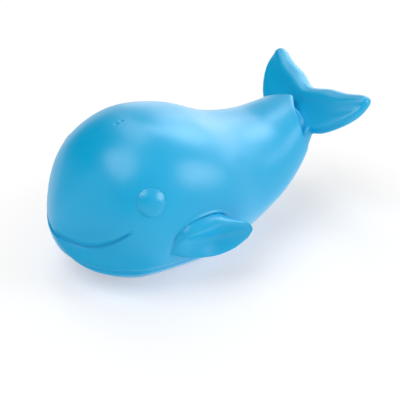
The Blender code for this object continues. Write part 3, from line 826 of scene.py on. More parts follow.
class Effects:
    """The effects that the finishes share, each a node group built once."""

    def __init__(self) -> None:
        """Builds the groups."""
        self.pigment_and_crease_shade = self._pigment_and_crease_shade()
        self.smears = self._smears()
        self.grain = self._grain()

    @staticmethod
    def _group(
        name: str, inputs: Sequence[tuple[str, str]], output: tuple[str, str]
    ) -> tuple[Graph, bpy.types.Node, bpy.types.NodeSocket]:
        """Starts a node group.

        Args:
            name: The group's name.
            inputs: Name and type of each input.
            output: Name and type of the output.

        Returns:
            The group's graph, its input node and the socket that takes its result.
        """
        tree = bpy.data.node_groups.new(name, "ShaderNodeTree")
        for label, kind in inputs:
            tree.interface.new_socket(label, in_out="INPUT", socket_type=kind)
        tree.interface.new_socket(output[0], in_out="OUTPUT", socket_type=output[1])
        graph = Graph(tree)
        given = graph.add("NodeGroupInput")
        result = graph.add("NodeGroupOutput")
        return graph, given, result.inputs[0]

    def _pigment_and_crease_shade(self) -> bpy.types.NodeTree:
        """Colour with soft clouds in it, and painted shade that darkens it where the surface is
        creased.
        """
        graph, given, result = self._group(
            "pigment_and_crease_shade",
            [
                ("Colour", "NodeSocketColor"),
                ("Crease Colour", "NodeSocketColor"),
                ("Clouds", "NodeSocketFloat"),
                ("Fineness", "NodeSocketFloat"),
            ],
            ("Colour", "NodeSocketColor"),
        )
        # Painted shade: the colour darkens towards the crease colour where the skin sinks into a
        # crease.
        crease = graph.add("ShaderNodeAttribute", attribute_name="crease")
        blend = graph.add("ShaderNodeMix", data_type="RGBA")
        graph.join(crease.outputs["Fac"], blend.inputs["Factor"])
        graph.join(given.outputs["Colour"], blend.inputs["A"])
        graph.join(given.outputs["Crease Colour"], blend.inputs["B"])
        cloud = graph.math("SUBTRACT", graph.noise(given.outputs["Fineness"], detail=3.0), 0.5)
        shade = graph.math("MULTIPLY_ADD", cloud, given.outputs["Clouds"], 1.0)
        scaled = graph.add("ShaderNodeVectorMath", operation="SCALE")
        graph.join(blend.outputs["Result"], scaled.inputs[0])
        graph.join(shade, scaled.inputs["Scale"])
        graph.join(scaled.outputs[0], result)
        return graph.tree

    def _smears(self) -> bpy.types.NodeTree:
        """Roughness with the smears that handling leaves."""
        graph, given, result = self._group(
            "handling_smears",
            [
                ("Roughness", "NodeSocketFloat"),
                ("Amount", "NodeSocketFloat"),
                ("Fineness", "NodeSocketFloat"),
            ],
            ("Roughness", "NodeSocketFloat"),
        )
        smear = graph.math("SUBTRACT", graph.noise(given.outputs["Fineness"], detail=4.0), 0.5)
        amount, roughness = given.outputs["Amount"], given.outputs["Roughness"]
        graph.join(graph.math("MULTIPLY_ADD", smear, amount, roughness), result)
        return graph.tree

    def _grain(self) -> bpy.types.NodeTree:
        """Height of the mould's fine grain over its slow waves."""
        graph, given, result = self._group(
            "mould_grain",
            [
                ("Grain Fineness", "NodeSocketFloat"),
                ("Wave Fineness", "NodeSocketFloat"),
                ("Waves", "NodeSocketFloat"),
            ],
            ("Height", "NodeSocketFloat"),
        )
        fine = graph.noise(given.outputs["Grain Fineness"], detail=2.0)
        slow = graph.noise(given.outputs["Wave Fineness"], detail=1.0)
        graph.join(graph.math("MULTIPLY_ADD", slow, given.outputs["Waves"], fine), result)
        return graph.tree


@dataclass(frozen=True)
class Finish:
    """A moulded plastic: its colour, the shade painted into its creases, its gloss and the grain of
    its mould.
    """

    name: str
    slot: str
    colour: tuple[float, float, float]
    crease_shade_colour: tuple[float, float, float]
    roughness: float
    clouds: float = 0.06
    cloud_fineness: float = 45.0
    smears: float = 0.1
    smear_fineness: float = 60.0
    grain_fineness: float = 2600.0
    wave_fineness: float = 160.0
    waves: float = 1.5
    bump: float = 0.05
    bump_height: float = 0.2 * MM

    def material(self, effects: Effects) -> bpy.types.Material:
        """Builds the material.

        Args:
            effects: The shared node groups.

        Returns:
            The material.
        """
        made = bpy.data.materials.get(self.name)
        if made is not None:
            return made
        made, graph, shader = node_material(self.name)
        pigment_and_crease_shade = graph.add(
            "ShaderNodeGroup",
            node_tree=effects.pigment_and_crease_shade,
            Colour=(*self.colour, 1.0),
            # Painted shade: the colour that the deepest creases are darkened to.
            Crease_Colour=(*self.crease_shade_colour, 1.0),
            Clouds=self.clouds,
            Fineness=self.cloud_fineness,
        )
        graph.join(pigment_and_crease_shade.outputs["Colour"], shader.inputs["Base Color"])
        smears = graph.add(
            "ShaderNodeGroup",
            node_tree=effects.smears,
            Roughness=self.roughness,
            Amount=self.smears,
            Fineness=self.smear_fineness,
        )
        graph.join(smears.outputs["Roughness"], shader.inputs["Roughness"])
        grain = graph.add(
            "ShaderNodeGroup",
            node_tree=effects.grain,
            Grain_Fineness=self.grain_fineness,
            Wave_Fineness=self.wave_fineness,
            Waves=self.waves,
        )
        bump = graph.add("ShaderNodeBump", Strength=self.bump, Distance=self.bump_height)
        graph.join(grain.outputs["Height"], bump.inputs["Height"])
        graph.join(bump.outputs["Normal"], shader.inputs["Normal"])
        return made

    def paint(self, obj: bpy.types.Object, effects: Effects) -> None:
        """Gives an object this finish alone."""
        obj.data.materials.clear()
        obj.data.materials.append(self.material(effects))


SOFT_VINYL = Finish(
    name="soft_blue_vinyl",
    slot="soft_vinyl",
    colour=(0.002, 0.425, 0.76),
    # Painted shade for the skin's mouth groove, blowhole pits, fold crease and rolled seam.
    crease_shade_colour=(0.001, 0.30, 0.63),
    roughness=0.33,
)
EYE_VINYL = Finish(
    name="polished_blue_vinyl",
    slot="eye_vinyl",
    colour=(0.004, 0.425, 0.76),
    crease_shade_colour=(0.004, 0.30, 0.60),
    roughness=0.26,
    smears=0.05,
    bump=0.02,
)
WHITE_PLASTIC = Finish(
    name="moulded_white_plastic",
    slot="white_plastic",
    colour=(0.82, 0.82, 0.79),
    crease_shade_colour=(0.6, 0.6, 0.57),
    roughness=0.45,
    clouds=0.05,
    grain_fineness=4000.0,
)
REED_FILM = Finish(
    name="amber_reed_film",
    slot="reed_film",
    colour=(0.72, 0.56, 0.27),
    crease_shade_colour=(0.5, 0.36, 0.15),
    roughness=0.2,
    clouds=0.12,
    cloud_fineness=300.0,
    smears=0.08,
    bump=0.02,
)


@dataclass(frozen=True)
class Squeeze:
    """The heights at the seam and high on the back that bound the soft mouldings' give."""

    start: tuple[float, float, float] = (0.0, 0.0, 16.0 * MM)
    end: tuple[float, float, float] = (0.0, 0.0, 74.0 * MM)

    def follow(self, obj: bpy.types.Object) -> None:
        """Bakes a moulding's placing into its mesh."""
        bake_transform(obj)


def dress(obj: bpy.types.Object, finish: Finish, effects: Effects, *nodes: str) -> None:
    """Gives a piece its finish and hides the frame's nodes that it stands for.

    Args:
        obj: The piece.
        finish: Its finish.
        effects: The shared node groups.
        nodes: The nodes that it replaces.
    """
    finish.paint(obj, effects)
    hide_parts(*nodes)
    LOG.info("%s: %d faces, %s", obj.name, len(obj.data.polygons), finish.name)


# The mouldings


@dataclass(frozen=True)
class SkinShell:
    """The upper skin: a thin hollow moulding, open at the seam and at the tail's end."""

    lines: BodyLines
    reliefs: tuple[Relief, ...]
    seam_z: float = 16.0 * MM
    wall: float = 2.5 * MM
    rim_wall: float = 1.0 * MM
    rim_taper: float = 8.0 * MM
    seam_snap: float = 0.01 * MM
    seam_reach: float = 0.1 * MM
    end_roll: float = 1.5 * MM
    end_roll_stations: float = 0.3
    end_from: float = 5.5
    end_softness: int = 4
    end_course: tuple[tuple[float, float], ...] = (
        (0.0, 8.31),
        (15.0, 8.0),
        (27.0, 7.74),
        (37.0, 7.58),
        (46.0, 7.48),
        (63.0, 7.34),
        (78.0, 7.28),
        (110.0, 7.5),
        (140.0, 7.75),
        (180.0, 7.9),
    )
    # The sinking at which a crease's painted shade is full.
    deepest: float = 1.2 * MM
    columns: tuple[tuple[float, int], ...] = (
        (1.0, 50),
        (2.0, 38),
        (2.8, 30),
        (4.4, 50),
        (7.6, 46),
        (8.0, 26),
    )
    angles: tuple[tuple[float, int], ...] = (
        (4.0, 8),
        (45.0, 22),
        (70.0, 50),
        (98.0, 90),
        (132.0, 46),
        (180.0, 24),
    )
    inner_columns: tuple[tuple[float, int], ...] = ((1.0, 12), (8.0, 44))
    inner_steps: int = 96
    form_steps: int = 200

    def wall_depth(self, z: np.ndarray) -> np.ndarray:
        """The thickness of the wall where its outside has this height."""
        share = np.clip((z - self.seam_z) / self.rim_taper, 0.0, 1.0)
        return self.rim_wall + share * (self.wall - self.rim_wall)

    def to_rim(self, u: np.ndarray, angle: np.ndarray) -> np.ndarray:
        """Moves stations, so that the last one follows the pointed rim of the tail's end.

        Args:
            u: Stations.
            angle: Angles round the body.

        Returns:
            The moved stations.
        """
        degrees, ends = np.array(self.end_course).T
        ring = np.arange(-180.0, 181.0)
        course = np.pad(np.interp(np.abs(ring), degrees, ends), self.end_softness, mode="wrap")
        window = 2 * self.end_softness + 1
        soft = np.convolve(course, np.full(window, 1.0 / window), mode="valid")
        rim = np.interp(np.degrees((angle + math.pi) % (2.0 * math.pi) - math.pi), ring, soft)
        share = np.clip((u - self.end_from) / (self.lines.tail_end - self.end_from), 0.0, 1.0)
        return u + share**2 * (rim - self.lines.tail_end)

    def surface(
        self, u: np.ndarray, angle: np.ndarray, gap: float = 0.0
    ) -> tuple[np.ndarray, np.ndarray]:
        """Gives the outside with everything that is moulded into it.

        Args:
            u: Stations, one for each ring.
            angle: Angles, one for each step round.
            gap: Distance kept outside the surface.

        Returns:
            Points by ring and step, and how deep in a crease each one lies, which the finish
            darkens as painted shade.
        """
        station, turn = np.meshgrid(u, angle, indexing="ij")
        bent = self.to_rim(station, turn)
        points = self.lines.points(bent, turn)
        left = points.reshape(-1, 3).copy()
        left[:, 0] = np.abs(left[:, 0])
        lift = sum(relief.lift(left) for relief in self.reliefs).reshape(station.shape)
        near_end = np.clip(1.0 - (self.lines.tail_end - station) / self.end_roll_stations, 0.0, 1.0)
        roll = self.end_roll * (1.0 - np.sqrt(1.0 - near_end**2))
        moved = points + (lift - roll + gap)[..., None] * self.lines.normals(bent, turn)
        nose = station[:, 0] == 0.0
        if nose.any():
            moved[nose] = moved[nose].mean(axis=(0, 1))
        return moved, np.clip(-lift / self.deepest, 0.0, 1.0)

    def outer_angles(self) -> np.ndarray:
        """The angles of a whole ring, close together over the face and flanks."""
        half = np.radians(banded(self.angles))
        return np.concatenate([half, 2.0 * math.pi - half[-2:0:-1]])

    def solid_form(self, first: float, last: float, rings: int, gap: float) -> bpy.types.Object:
        """Makes a solid of part of the body, to cut other pieces clear of it.

        Args:
            first: The station of its front end.
            last: The station of its rear end.
            rings: How many rings it has.
            gap: How far it stands off the skin.

        Returns:
            The solid.
        """
        angle = np.linspace(0.0, 2.0 * math.pi, self.form_steps, endpoint=False)
        points, _ = self.surface(np.linspace(first, last, rings), angle, gap)
        end = np.broadcast_to(points[-1].mean(axis=0), (1, *points.shape[1:]))
        return ring_solid("body_form", np.concatenate([points, end]))

    def build(self) -> bpy.types.Object:
        """Builds the shell.

        Returns:
            The skin, a closed wall.
        """
        bm = bmesh.new()
        add_rings(bm, *self.surface(banded(self.columns), self.outer_angles()))
        station, turn = np.meshgrid(
            banded(self.inner_columns),
            np.linspace(0.0, 2.0 * math.pi, self.inner_steps, endpoint=False),
            indexing="ij",
        )
        station = self.to_rim(station, turn)
        depth = self.wall_depth(self.lines.points(station, turn)[..., 2])
        inner = self.lines.inside(station, turn, depth)
        inner[0] = inner[0].mean(axis=0)
        add_rings(bm, inner)
        bmesh.ops.remove_doubles(bm, verts=bm.verts, dist=WELD)
        bmesh.ops.bisect_plane(
            bm,
            geom=[*bm.verts, *bm.edges, *bm.faces],
            dist=self.seam_snap,
            plane_co=(0.0, 0.0, self.seam_z),
            plane_no=(0.0, 0.0, -1.0),
            clear_outer=True,
        )
        seam, tail = [], []
        for edge in bm.edges:
            if edge.is_boundary:
                low = max(vert.co.z for vert in edge.verts) < self.seam_z + self.seam_reach
                (seam if low else tail).append(edge)
        bmesh.ops.bridge_loops(bm, edges=seam)
        bmesh.ops.bridge_loops(bm, edges=tail)
        bmesh.ops.recalc_face_normals(bm, faces=bm.faces)
        return make_object("whale_skin", bm)


@dataclass(frozen=True)
class BellyPan:
    """The belly: a shallow pan inside the seam, with two pleats, a foot and a boss."""

    lines: BodyLines
    skin: SkinShell
    seam_clear: float = 0.45 * MM
    wall: float = 2.2 * MM
    lip: float = 4.0 * MM
    step: float = 4.0 * MM
    inset: float = 0.2 * MM
    pleat: float = 0.5 * MM
    pleat_width: float = 0.9 * MM
    pleats: tuple[float, ...] = (7.0 * MM, 3.5 * MM)
    columns: int = 110
    inner_levels: int = 9
    lip_levels: int = 7
    outer_levels: int = 68
    outer_from: float = 15.7 * MM
    outer_to: float = 0.4 * MM
    boss_radius: float = 12.5 * MM
    boss_top: float = 9.0 * MM
    bore_radius: float = 7.5 * MM
    seat_radius: float = 10.3 * MM
    seat_depth: float = 1.9 * MM
    edge: float = 0.35 * MM
    past: float = 4.0 * MM

    def depth(self, z: float) -> float:
        """How far inside the body's lines the pan's outside lies.

        Args:
            z: The height.

        Returns:
            The depth.
        """
        if z >= self.skin.seam_z:
            return float(self.skin.wall_depth(np.array(z))) + self.seam_clear
        eased = float(ease(np.array(self.skin.seam_z - z), 0.0, self.step))
        start = self.skin.rim_wall + self.seam_clear
        folds = sum(float(swell(np.array(z - pleat), self.pleat_width)) for pleat in self.pleats)
        return start + eased * (self.inset - start) + self.pleat * folds

    def outline(self, z: float, depth: float) -> np.ndarray:
        """Gives one level ring.

        Args:
            z: Its height on the body's lines.
            depth: How far it lies inside them.

        Returns:
            The points of the ring.
        """
        front, rear = self.lines.keel_ends(z)
        share = 0.5 - 0.5 * np.cos(np.linspace(0.0, math.pi, self.columns + 1))
        u = front + share * (rear - front)
        left = self.lines.inside(u, self.lines.angle_at_height(u, z), depth)
        left[[0, -1], 0] = 0.0
        return np.vstack([left, Side.RIGHT.mirrored(left[-2:0:-1])])

    def build(self, axis: Matrix) -> bpy.types.Object:
        """Builds the pan.

        Args:
            axis: A placing on the squeaker's axis, at the floor.

        Returns:
            The pan with its boss bored through.
        """
        top = self.skin.seam_z + self.lip
        rings = []
        for z in np.linspace(0.0, top, self.inner_levels):
            ring = self.outline(z, self.depth(z) + self.wall)
            ring[:, 2] = np.maximum(ring[:, 2], self.wall) if z > 0.0 else self.wall
            rings.append(ring)
        lip = np.linspace(top, self.skin.seam_z, self.lip_levels)
        outer = np.linspace(self.outer_from, self.outer_to, self.outer_levels)
        rings += [self.outline(z, self.depth(z)) for z in (*lip, *outer)]
        foot = self.outline(0.0, self.depth(0.0))
        foot[:, 2] = 0.0
        pan = ring_solid("belly_pan_moulding", np.stack([*rings, foot]))
        base = 0.5 * self.wall
        boss = [
            (0.0, base, 0.0),
            (self.boss_radius, base, 0.0),
            (self.boss_radius, self.boss_top, self.edge),
            (0.0, self.boss_top, 0.0),
        ]
        carve(pan, ring_solid("boss", turned_rings(filleted(boss), axis)), "UNION")
        bore = [
            (0.0, -self.past),
            (self.seat_radius + self.edge, -self.past),
            (self.seat_radius + self.edge, 0.0),
            (self.seat_radius, self.edge),
            (self.seat_radius, self.seat_depth),
            (self.bore_radius, self.seat_depth),
            (self.bore_radius, self.boss_top + self.past),
            (0.0, self.boss_top + self.past),
        ]
        carve(pan, ring_solid("bore", turned_rings(bore, axis)))
        return pan


@dataclass(frozen=True)
class Eye:
    """A domed eye with the stem and barb that hold it in the skin."""

    seat: EyeSeat
    side: Side
    dome: float = 1.75 * MM
    edge: float = -0.5 * MM
    base: float = -0.9 * MM
    above: float = 2.0 * MM
    stem_radius: float = 2.2 * MM
    barb_radius: float = 3.6 * MM
    tip_radius: float = 2.1 * MM
    barb_at: float = -3.4 * MM
    barb: float = 1.6 * MM
    tip_round: float = 0.3 * MM
    edge_round: float = 0.15 * MM
    rings: int = 24

    @property
    def place(self) -> Matrix:
        """A placing on the skin under the eye, its Z axis outwards."""
        point, normal = self.seat.place
        return frame_on(self.side.mirrored(point), self.side.mirrored(normal))

    def hole(self) -> np.ndarray:
        """Rings of the seat and of the hole that the stem needs in the skin."""
        radius = self.stem_radius + CLEAR
        wide = self.seat.radius + self.seat.play
        low = self.barb_at - self.barb
        stem = [(0.0, low), (radius, low), (radius, self.seat.floor)]
        seat = [(wide, self.seat.floor), (wide, self.above), (0.0, self.above)]
        return turned_rings([*stem, *seat], self.place)

    def build(self) -> bpy.types.Object:
        """Builds the eye.

        Returns:
            The eye.
        """
        height = self.dome - self.edge
        ball = (self.seat.radius**2 + height**2) / (2.0 * height)
        sweep = math.asin(self.seat.radius / ball)
        low = self.barb_at - self.barb
        profile = filleted(
            [
                (0.0, low, 0.0),
                (self.tip_radius, low, self.tip_round),
                (self.barb_radius, self.barb_at, self.edge_round),
                (self.stem_radius, self.barb_at, 0.0),
                (self.stem_radius, self.base, 0.0),
                (self.seat.radius, self.base, self.edge_round),
                (self.seat.radius, self.edge, 0.0),
            ]
        )
        for turn in np.linspace(sweep, 0.0, self.rings)[1:]:
            profile.append((ball * math.sin(turn), self.dome - ball + ball * math.cos(turn)))
        return ring_solid(f"{self.side.word}_eye_dome", turned_rings(profile, self.place))


@dataclass(frozen=True)
class Flipper:
    """A paddle that lies against the flank, with a neck and flange inside the skin.

    Its guides run from the front edge to the tip, in millimetres on the left side: the
    upper edge at the skin, the shoulder, the dish, the lower edge and two inside.
    """

    lines: BodyLines
    side: Side
    behind_nose: float = 52.5 * MM
    neck_height: float = 34.0 * MM
    neck_radius: float = 3.0 * MM
    flange_radius: float = 4.5 * MM
    flange: float = 1.8 * MM
    flange_at: float = -3.4 * MM
    flange_round: float = 0.3 * MM
    neck_end: float = 2.0 * MM
    neck_steps: int = 48
    hole_steps: int = 32
    skin_gap: float = 0.12 * MM
    skin_from: float = 0.8
    skin_to: float = 5.5
    skin_rings: int = 130
    tip: tuple[float, float, float] = (53.0, -5.2, 30.4)
    guides: tuple[tuple[tuple[float, float, float], ...], ...] = (
        (
            (41.6, -39.8, 37.4),
            (41.8, -33.0, 40.6),
            (41.6, -25.4, 41.2),
            (42.6, -18.4, 39.8),
            (45.8, -12.2, 36.2),
            (50.7, -7.4, 35.0),
        ),
        (
            (41.6, -41.8, 33.6),
            (45.7, -37.0, 36.0),
            (47.5, -30.0, 37.0),
            (48.8, -22.5, 38.8),
            (50.6, -14.3, 37.2),
            (52.0, -7.3, 34.8),
        ),
        (
            (41.2, -42.7, 30.0),
            (43.5, -38.2, 30.8),
            (44.1, -29.4, 28.8),
            (45.3, -20.6, 28.2),
            (48.5, -13.2, 29.4),
            (52.2, -6.6, 30.6),
        ),
        (
            (40.2, -43.2, 24.4),
            (42.9, -37.6, 22.0),
            (46.6, -31.0, 21.4),
            (48.9, -22.8, 20.8),
            (50.6, -14.1, 22.4),
            (51.9, -7.3, 26.2),
        ),
        (
            (38.5, -41.0, 27.0),
            (39.5, -36.0, 27.0),
            (41.0, -29.0, 27.0),
            (43.0, -21.0, 27.0),
            (46.6, -12.6, 27.4),
            (50.6, -6.8, 29.4),
        ),
        (
            (38.5, -39.5, 33.0),
            (39.5, -34.0, 36.0),
            (39.8, -26.5, 37.0),
            (41.0, -19.2, 36.0),
            (45.0, -12.2, 33.6),
            (50.2, -6.8, 32.8),
        ),
    )
    bluntness: float = 0.42
    rings: int = 72
    cap_rings: int = 14
    steps: int = 96

    @property
    def neck_place(self) -> Matrix:
        """A placing on the skin under the neck, its Z axis outwards."""
        point, normal = self.lines.flank_place(self.behind_nose, self.neck_height)
        return frame_on(self.side.mirrored(point), self.side.mirrored(normal))

    def hole(self) -> np.ndarray:
        """Rings of the hole that the neck needs in the skin."""
        radius = self.neck_radius + CLEAR
        low = self.flange_at - self.flange
        high = -low
        profile = [(0.0, low), (radius, low), (radius, high), (0.0, high)]
        return turned_rings(profile, self.neck_place, self.hole_steps)

    def paddle(self) -> np.ndarray:
        """Gives the paddle's rings, drawn over its guides and rounded off at the tip.

        Returns:
            Points by ring and step.
        """
        drawn = np.array(self.guides).transpose(1, 0, 2) * MM
        slope = drawn[-1] - drawn[-2]
        rows = np.concatenate([2.0 * drawn[:1] - drawn[1:2], drawn, (drawn[-1] + slope)[None]])
        place = np.linspace(0.0, len(drawn) - 1.0, self.rings)
        blade = spline(rows.reshape(len(rows), -1), place).reshape(len(place), -1, 3)
        made = np.concatenate([blade, self.cap(drawn[-1], slope)])
        loop = np.concatenate([made[:, -1:], made, made[:, :2]], axis=1).transpose(1, 0, 2)
        turn = np.linspace(0.0, made.shape[1], self.steps, endpoint=False)
        rings = spline(loop.reshape(len(loop), -1), turn).reshape(self.steps, len(made), 3)
        return self.side.mirrored(rings.transpose(1, 0, 2))

    def cap(self, start: np.ndarray, slope: np.ndarray) -> np.ndarray:
        """Draws the guides on to the tip, where they meet square to the flipper's length.

        Args:
            start: The last point of each guide.
            slope: The direction of each guide there.

        Returns:
            Points by ring and guide.
        """
        tip = np.array(self.tip) * MM
        way = tip - start.mean(axis=0)
        way /= np.linalg.norm(way)
        ahead = (tip - start) @ way
        first = start + slope * (self.bluntness * ahead / (slope @ way))[:, None]
        second = tip + self.bluntness * (start - tip + ahead[:, None] * way)
        t = np.linspace(0.0, 1.0, self.cap_rings + 1)[1:, None, None]
        s = 1.0 - t
        return s**3 * start + 3.0 * s**2 * t * first + 3.0 * s * t**2 * second + t**3 * tip

    def build(self, skin: SkinShell) -> bpy.types.Object:
        """Builds the flipper.

        Args:
            skin: The skin that it lies against.

        Returns:
            The flipper, cut clear of the skin.
        """
        obj = ring_solid(f"{self.side.word}_flipper_paddle", self.paddle())
        beside = skin.solid_form(self.skin_from, self.skin_to, self.skin_rings, self.skin_gap)
        carve(obj, beside)
        neck = filleted(
            [
                (0.0, self.flange_at - self.flange, 0.0),
                (self.flange_radius, self.flange_at - self.flange, self.flange_round),
                (self.flange_radius, self.flange_at, self.flange_round),
                (self.neck_radius, self.flange_at, 0.0),
                (self.neck_radius, self.neck_end, 0.0),
                (0.0, self.neck_end, 0.0),
            ]
        )
        rings = turned_rings(neck, self.neck_place, self.neck_steps)
        carve(obj, ring_solid("neck", rings), "UNION")
        return obj


@dataclass(frozen=True)
class TailFlukes:
    """Both lobes of the tail in one moulding, with the plug that sits in the stalk.

    Each section is in drawing units: the distance from the middle, mid chord, half chord
    and half thickness.
    """

    lines: BodyLines
    span: float = 74.8 * MM
    chord: float = 26.0 * MM
    thickness: float = 11.0 * MM
    behind: float = 14.8 * MM
    below: float = 1.9 * MM
    slope: float = math.radians(41.0)
    rise: float = math.radians(0.7)
    plug_start: float = 6.6
    plug_end: float = 7.75
    plug_inset: float = 2.8 * MM
    plug_level: float = 9.0 * MM
    plug_dome: float = 3.5 * MM
    root_inset: float = 0.4 * MM
    root_level: float = 3.4 * MM
    root_dome: float = 7.0 * MM
    stump_rings: int = 14
    dome_rings: int = 15
    voxel: float = 0.6 * MM
    softness: float = 0.5
    smoothing: int = 14
    skin_gap: float = 0.15 * MM
    skin_from: float = 5.5
    skin_rings: int = 90
    sections: tuple[tuple[float, ...], ...] = (
        (0.0, -8.3, 11.0, 5.5),
        (11.7, -6.3, 13.0, 5.5),
        (22.4, -3.6, 12.6, 5.0),
        (31.0, 2.2, 9.9, 4.2),
        (35.6, 6.2, 6.0, 3.1),
        (37.3, 7.5, 0.0, 0.0),
    )
    profile: tuple[tuple[float, float], ...] = (
        (-1.0, 0.0),
        (-0.96, 0.4),
        (-0.82, 0.6),
        (-0.5, 0.68),
        (-0.12, 0.68),
        (0.15, 0.8),
        (0.38, 0.95),
        (0.58, 0.92),
        (0.84, 0.62),
        (1.0, 0.0),
        (0.88, -0.7),
        (0.5, -0.95),
        (0.0, -1.0),
        (-0.6, -0.88),
        (-0.92, -0.5),
    )
    rings: int = 60
    steps: int = 96

    @property
    def stand(self) -> tuple[np.ndarray, np.ndarray, np.ndarray]:
        """The notch between the lobes, and the directions of their chord and thickness."""
        back = self.lines.section(np.array(self.lines.tail_end))[0]
        notch = np.array((0.0, back[0] + self.behind, back[1] - self.below))
        chord_way = np.array((0.0, math.cos(self.slope), math.sin(self.slope)))
        thick_way = np.array((0.0, -math.sin(self.slope), math.cos(self.slope)))
        return notch, chord_way, thick_way

    def lobes(self) -> np.ndarray:
        """Gives the rings of both lobes, from tip to tip.

        Returns:
            Points by ring and step.
        """
        drawn = np.array(self.sections)
        chord = 0.5 * self.chord / drawn[:, 2].max()
        deep = 0.5 * self.thickness / drawn[:, 3].max()
        rows = drawn * (0.5 * self.span / drawn[-1, 0], chord, chord, deep)
        before = rows[1] * (-1.0, 1.0, 1.0, 1.0)
        near = rows[-2]
        after = np.array((near[0], 2.0 * rows[-1, 1] - near[1], -near[2], -near[3]))
        rows = np.vstack([before, rows, after])
        share = np.sin(np.linspace(0.0, 0.5 * math.pi, self.rings))
        out, mid, wide, thick = spline(rows, share * (len(drawn) - 1)).T[..., None]
        notch, chord_way, thick_way = self.stand
        loop = np.array(self.profile)
        steps = np.linspace(0.0, len(loop), self.steps, endpoint=False)
        across, upward = spline(np.vstack([loop[-1:], loop, loop[:2]]), steps).T
        along = mid + np.maximum(wide, 0.0) * across
        rise = np.maximum(thick, 0.0) * upward + out * math.sin(self.rise)
        left = notch + along[..., None] * chord_way + rise[..., None] * thick_way
        left[..., 0] += out * math.cos(self.rise)
        return np.concatenate([Side.RIGHT.mirrored(left[:0:-1]), left])

    def stump(self, inset: float, last: float, dome: float, level: float) -> np.ndarray:
        """Gives the rings of a form inside the stalk, rounded off at its end.

        Args:
            inset: How far inside the body's lines it lies.
            last: The station at which its rounded end starts.
            dome: How far the rounded end reaches.
            level: How far above the middle of the lobes it may stand.

        Returns:
            Points by ring and step.
        """
        turn = np.linspace(0.0, 2.0 * math.pi, self.steps, endpoint=False)
        rings = [
            self.lines.inside(np.full(self.steps, u), turn, inset)
            for u in np.linspace(self.plug_start, last, self.stump_rings)
        ]
        middle = rings[-1].mean(axis=0)
        end = rings[-1]
        for lean in np.linspace(0.0, 0.5 * math.pi, self.dome_rings + 1)[1:]:
            way = dome * math.sin(lean) * self.lines.end_way()
            rings.append(middle + math.cos(lean) * (end - middle) + way)
        made = np.stack(rings)
        notch, _, thick_way = self.stand
        over = np.maximum((made - notch) @ thick_way - level, 0.0)
        return made - over[..., None] * thick_way

    def build(self, skin: SkinShell) -> bpy.types.Object:
        """Builds the flukes.

        Args:
            skin: The skin whose stalk they close.

        Returns:
            The flukes, rounded into their root, cut clear of the stalk and with the plug.
        """
        obj = ring_solid("fluke_lobes", self.lobes())
        root = self.stump(self.root_inset, self.lines.tail_end, self.root_dome, self.root_level)
        carve(obj, ring_solid("root", root), "UNION")
        melt = obj.modifiers.new("melt", "REMESH")
        melt.mode = "VOXEL"
        melt.voxel_size = self.voxel
        soften = obj.modifiers.new("soften", "SMOOTH")
        soften.factor = self.softness
        soften.iterations = self.smoothing
        end = self.lines.tail_end
        carve(obj, skin.solid_form(self.skin_from, end, self.skin_rings, self.skin_gap))
        plug = self.stump(self.plug_inset, self.plug_end, self.plug_dome, self.plug_level)
        carve(obj, ring_solid("plug", plug), "UNION")
        obj.data.shade_smooth()
        obj.data.set_sharp_from_angle(angle=SHARP)
        return obj


@dataclass(frozen=True)
class Squeaker:
    """The reed squeaker in the belly: a turned cup, and the frame's own small pieces."""

    flange_radius: float = 10.0 * MM
    flange: float = 1.2 * MM
    recess: float = 0.4 * MM
    tube_radius: float = 7.2 * MM
    inner_radius: float = 5.7 * MM
    hole_radius: float = 2.6 * MM
    deck_top: float = 3.0 * MM
    bead_base: float = 9.3 * MM
    bead: float = 0.9 * MM
    bead_height: float = 1.2 * MM
    round: float = 0.25 * MM
    rigid: tuple[str, ...] = ("squeaker_cap", "reed_block", "reed_clamp")

    @property
    def axis(self) -> Matrix:
        """A placing on the squeaker's axis, at the floor."""
        low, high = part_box("squeaker_cup")
        return Matrix.Translation((0.5 * (low[0] + high[0]), 0.5 * (low[1] + high[1]), 0.0))

    def build(self) -> bpy.types.Object:
        """Builds the cup.

        Returns:
            The cup, its visible edges rounded.
        """
        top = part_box("squeaker_cup")[1][2]
        flange_top = self.recess + self.flange
        profile = filleted(
            [
                (self.hole_radius, self.recess, self.round),
                (self.flange_radius, self.recess, self.round),
                (self.flange_radius, flange_top, self.round),
                (self.tube_radius, flange_top, 0.0),
                (self.tube_radius, self.bead_base, 0.0),
                (self.tube_radius + self.bead, self.bead_base, self.round),
                (self.tube_radius, self.bead_base + self.bead_height, 0.0),
                (self.tube_radius, top, self.round),
                (self.inner_radius, top, self.round),
                (self.inner_radius, self.deck_top, 0.0),
                (self.hole_radius, self.deck_top, 0.0),
            ]
        )
        return ring_solid("squeaker_cup_turned", turned_rings(profile, self.axis))

    def dress_solids(self, effects: Effects) -> None:
        """Gives the frame's own pieces their finishes.

        Args:
            effects: The shared node groups.
        """
        for node in (*self.rigid, "reed_tongue"):
            finish = REED_FILM if node == "reed_tongue" else WHITE_PLASTIC
            finish.paint(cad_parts[node], effects)
            LOG.info("%s: the frame's solid, %s", node, finish.name)


# The studio


def way_to(azimuth: float, elevation: float) -> Vector:
    """Gives the direction from the whale to something round it.

    Args:
        azimuth: Degrees round it, 0 before the nose and 90 at its left side.
        elevation: Degrees above the floor.

    Returns:
        A unit vector.
    """
    a = math.radians(azimuth)
    e = math.radians(elevation)
    return Vector((math.sin(a) * math.cos(e), -math.cos(a) * math.cos(e), math.sin(e)))


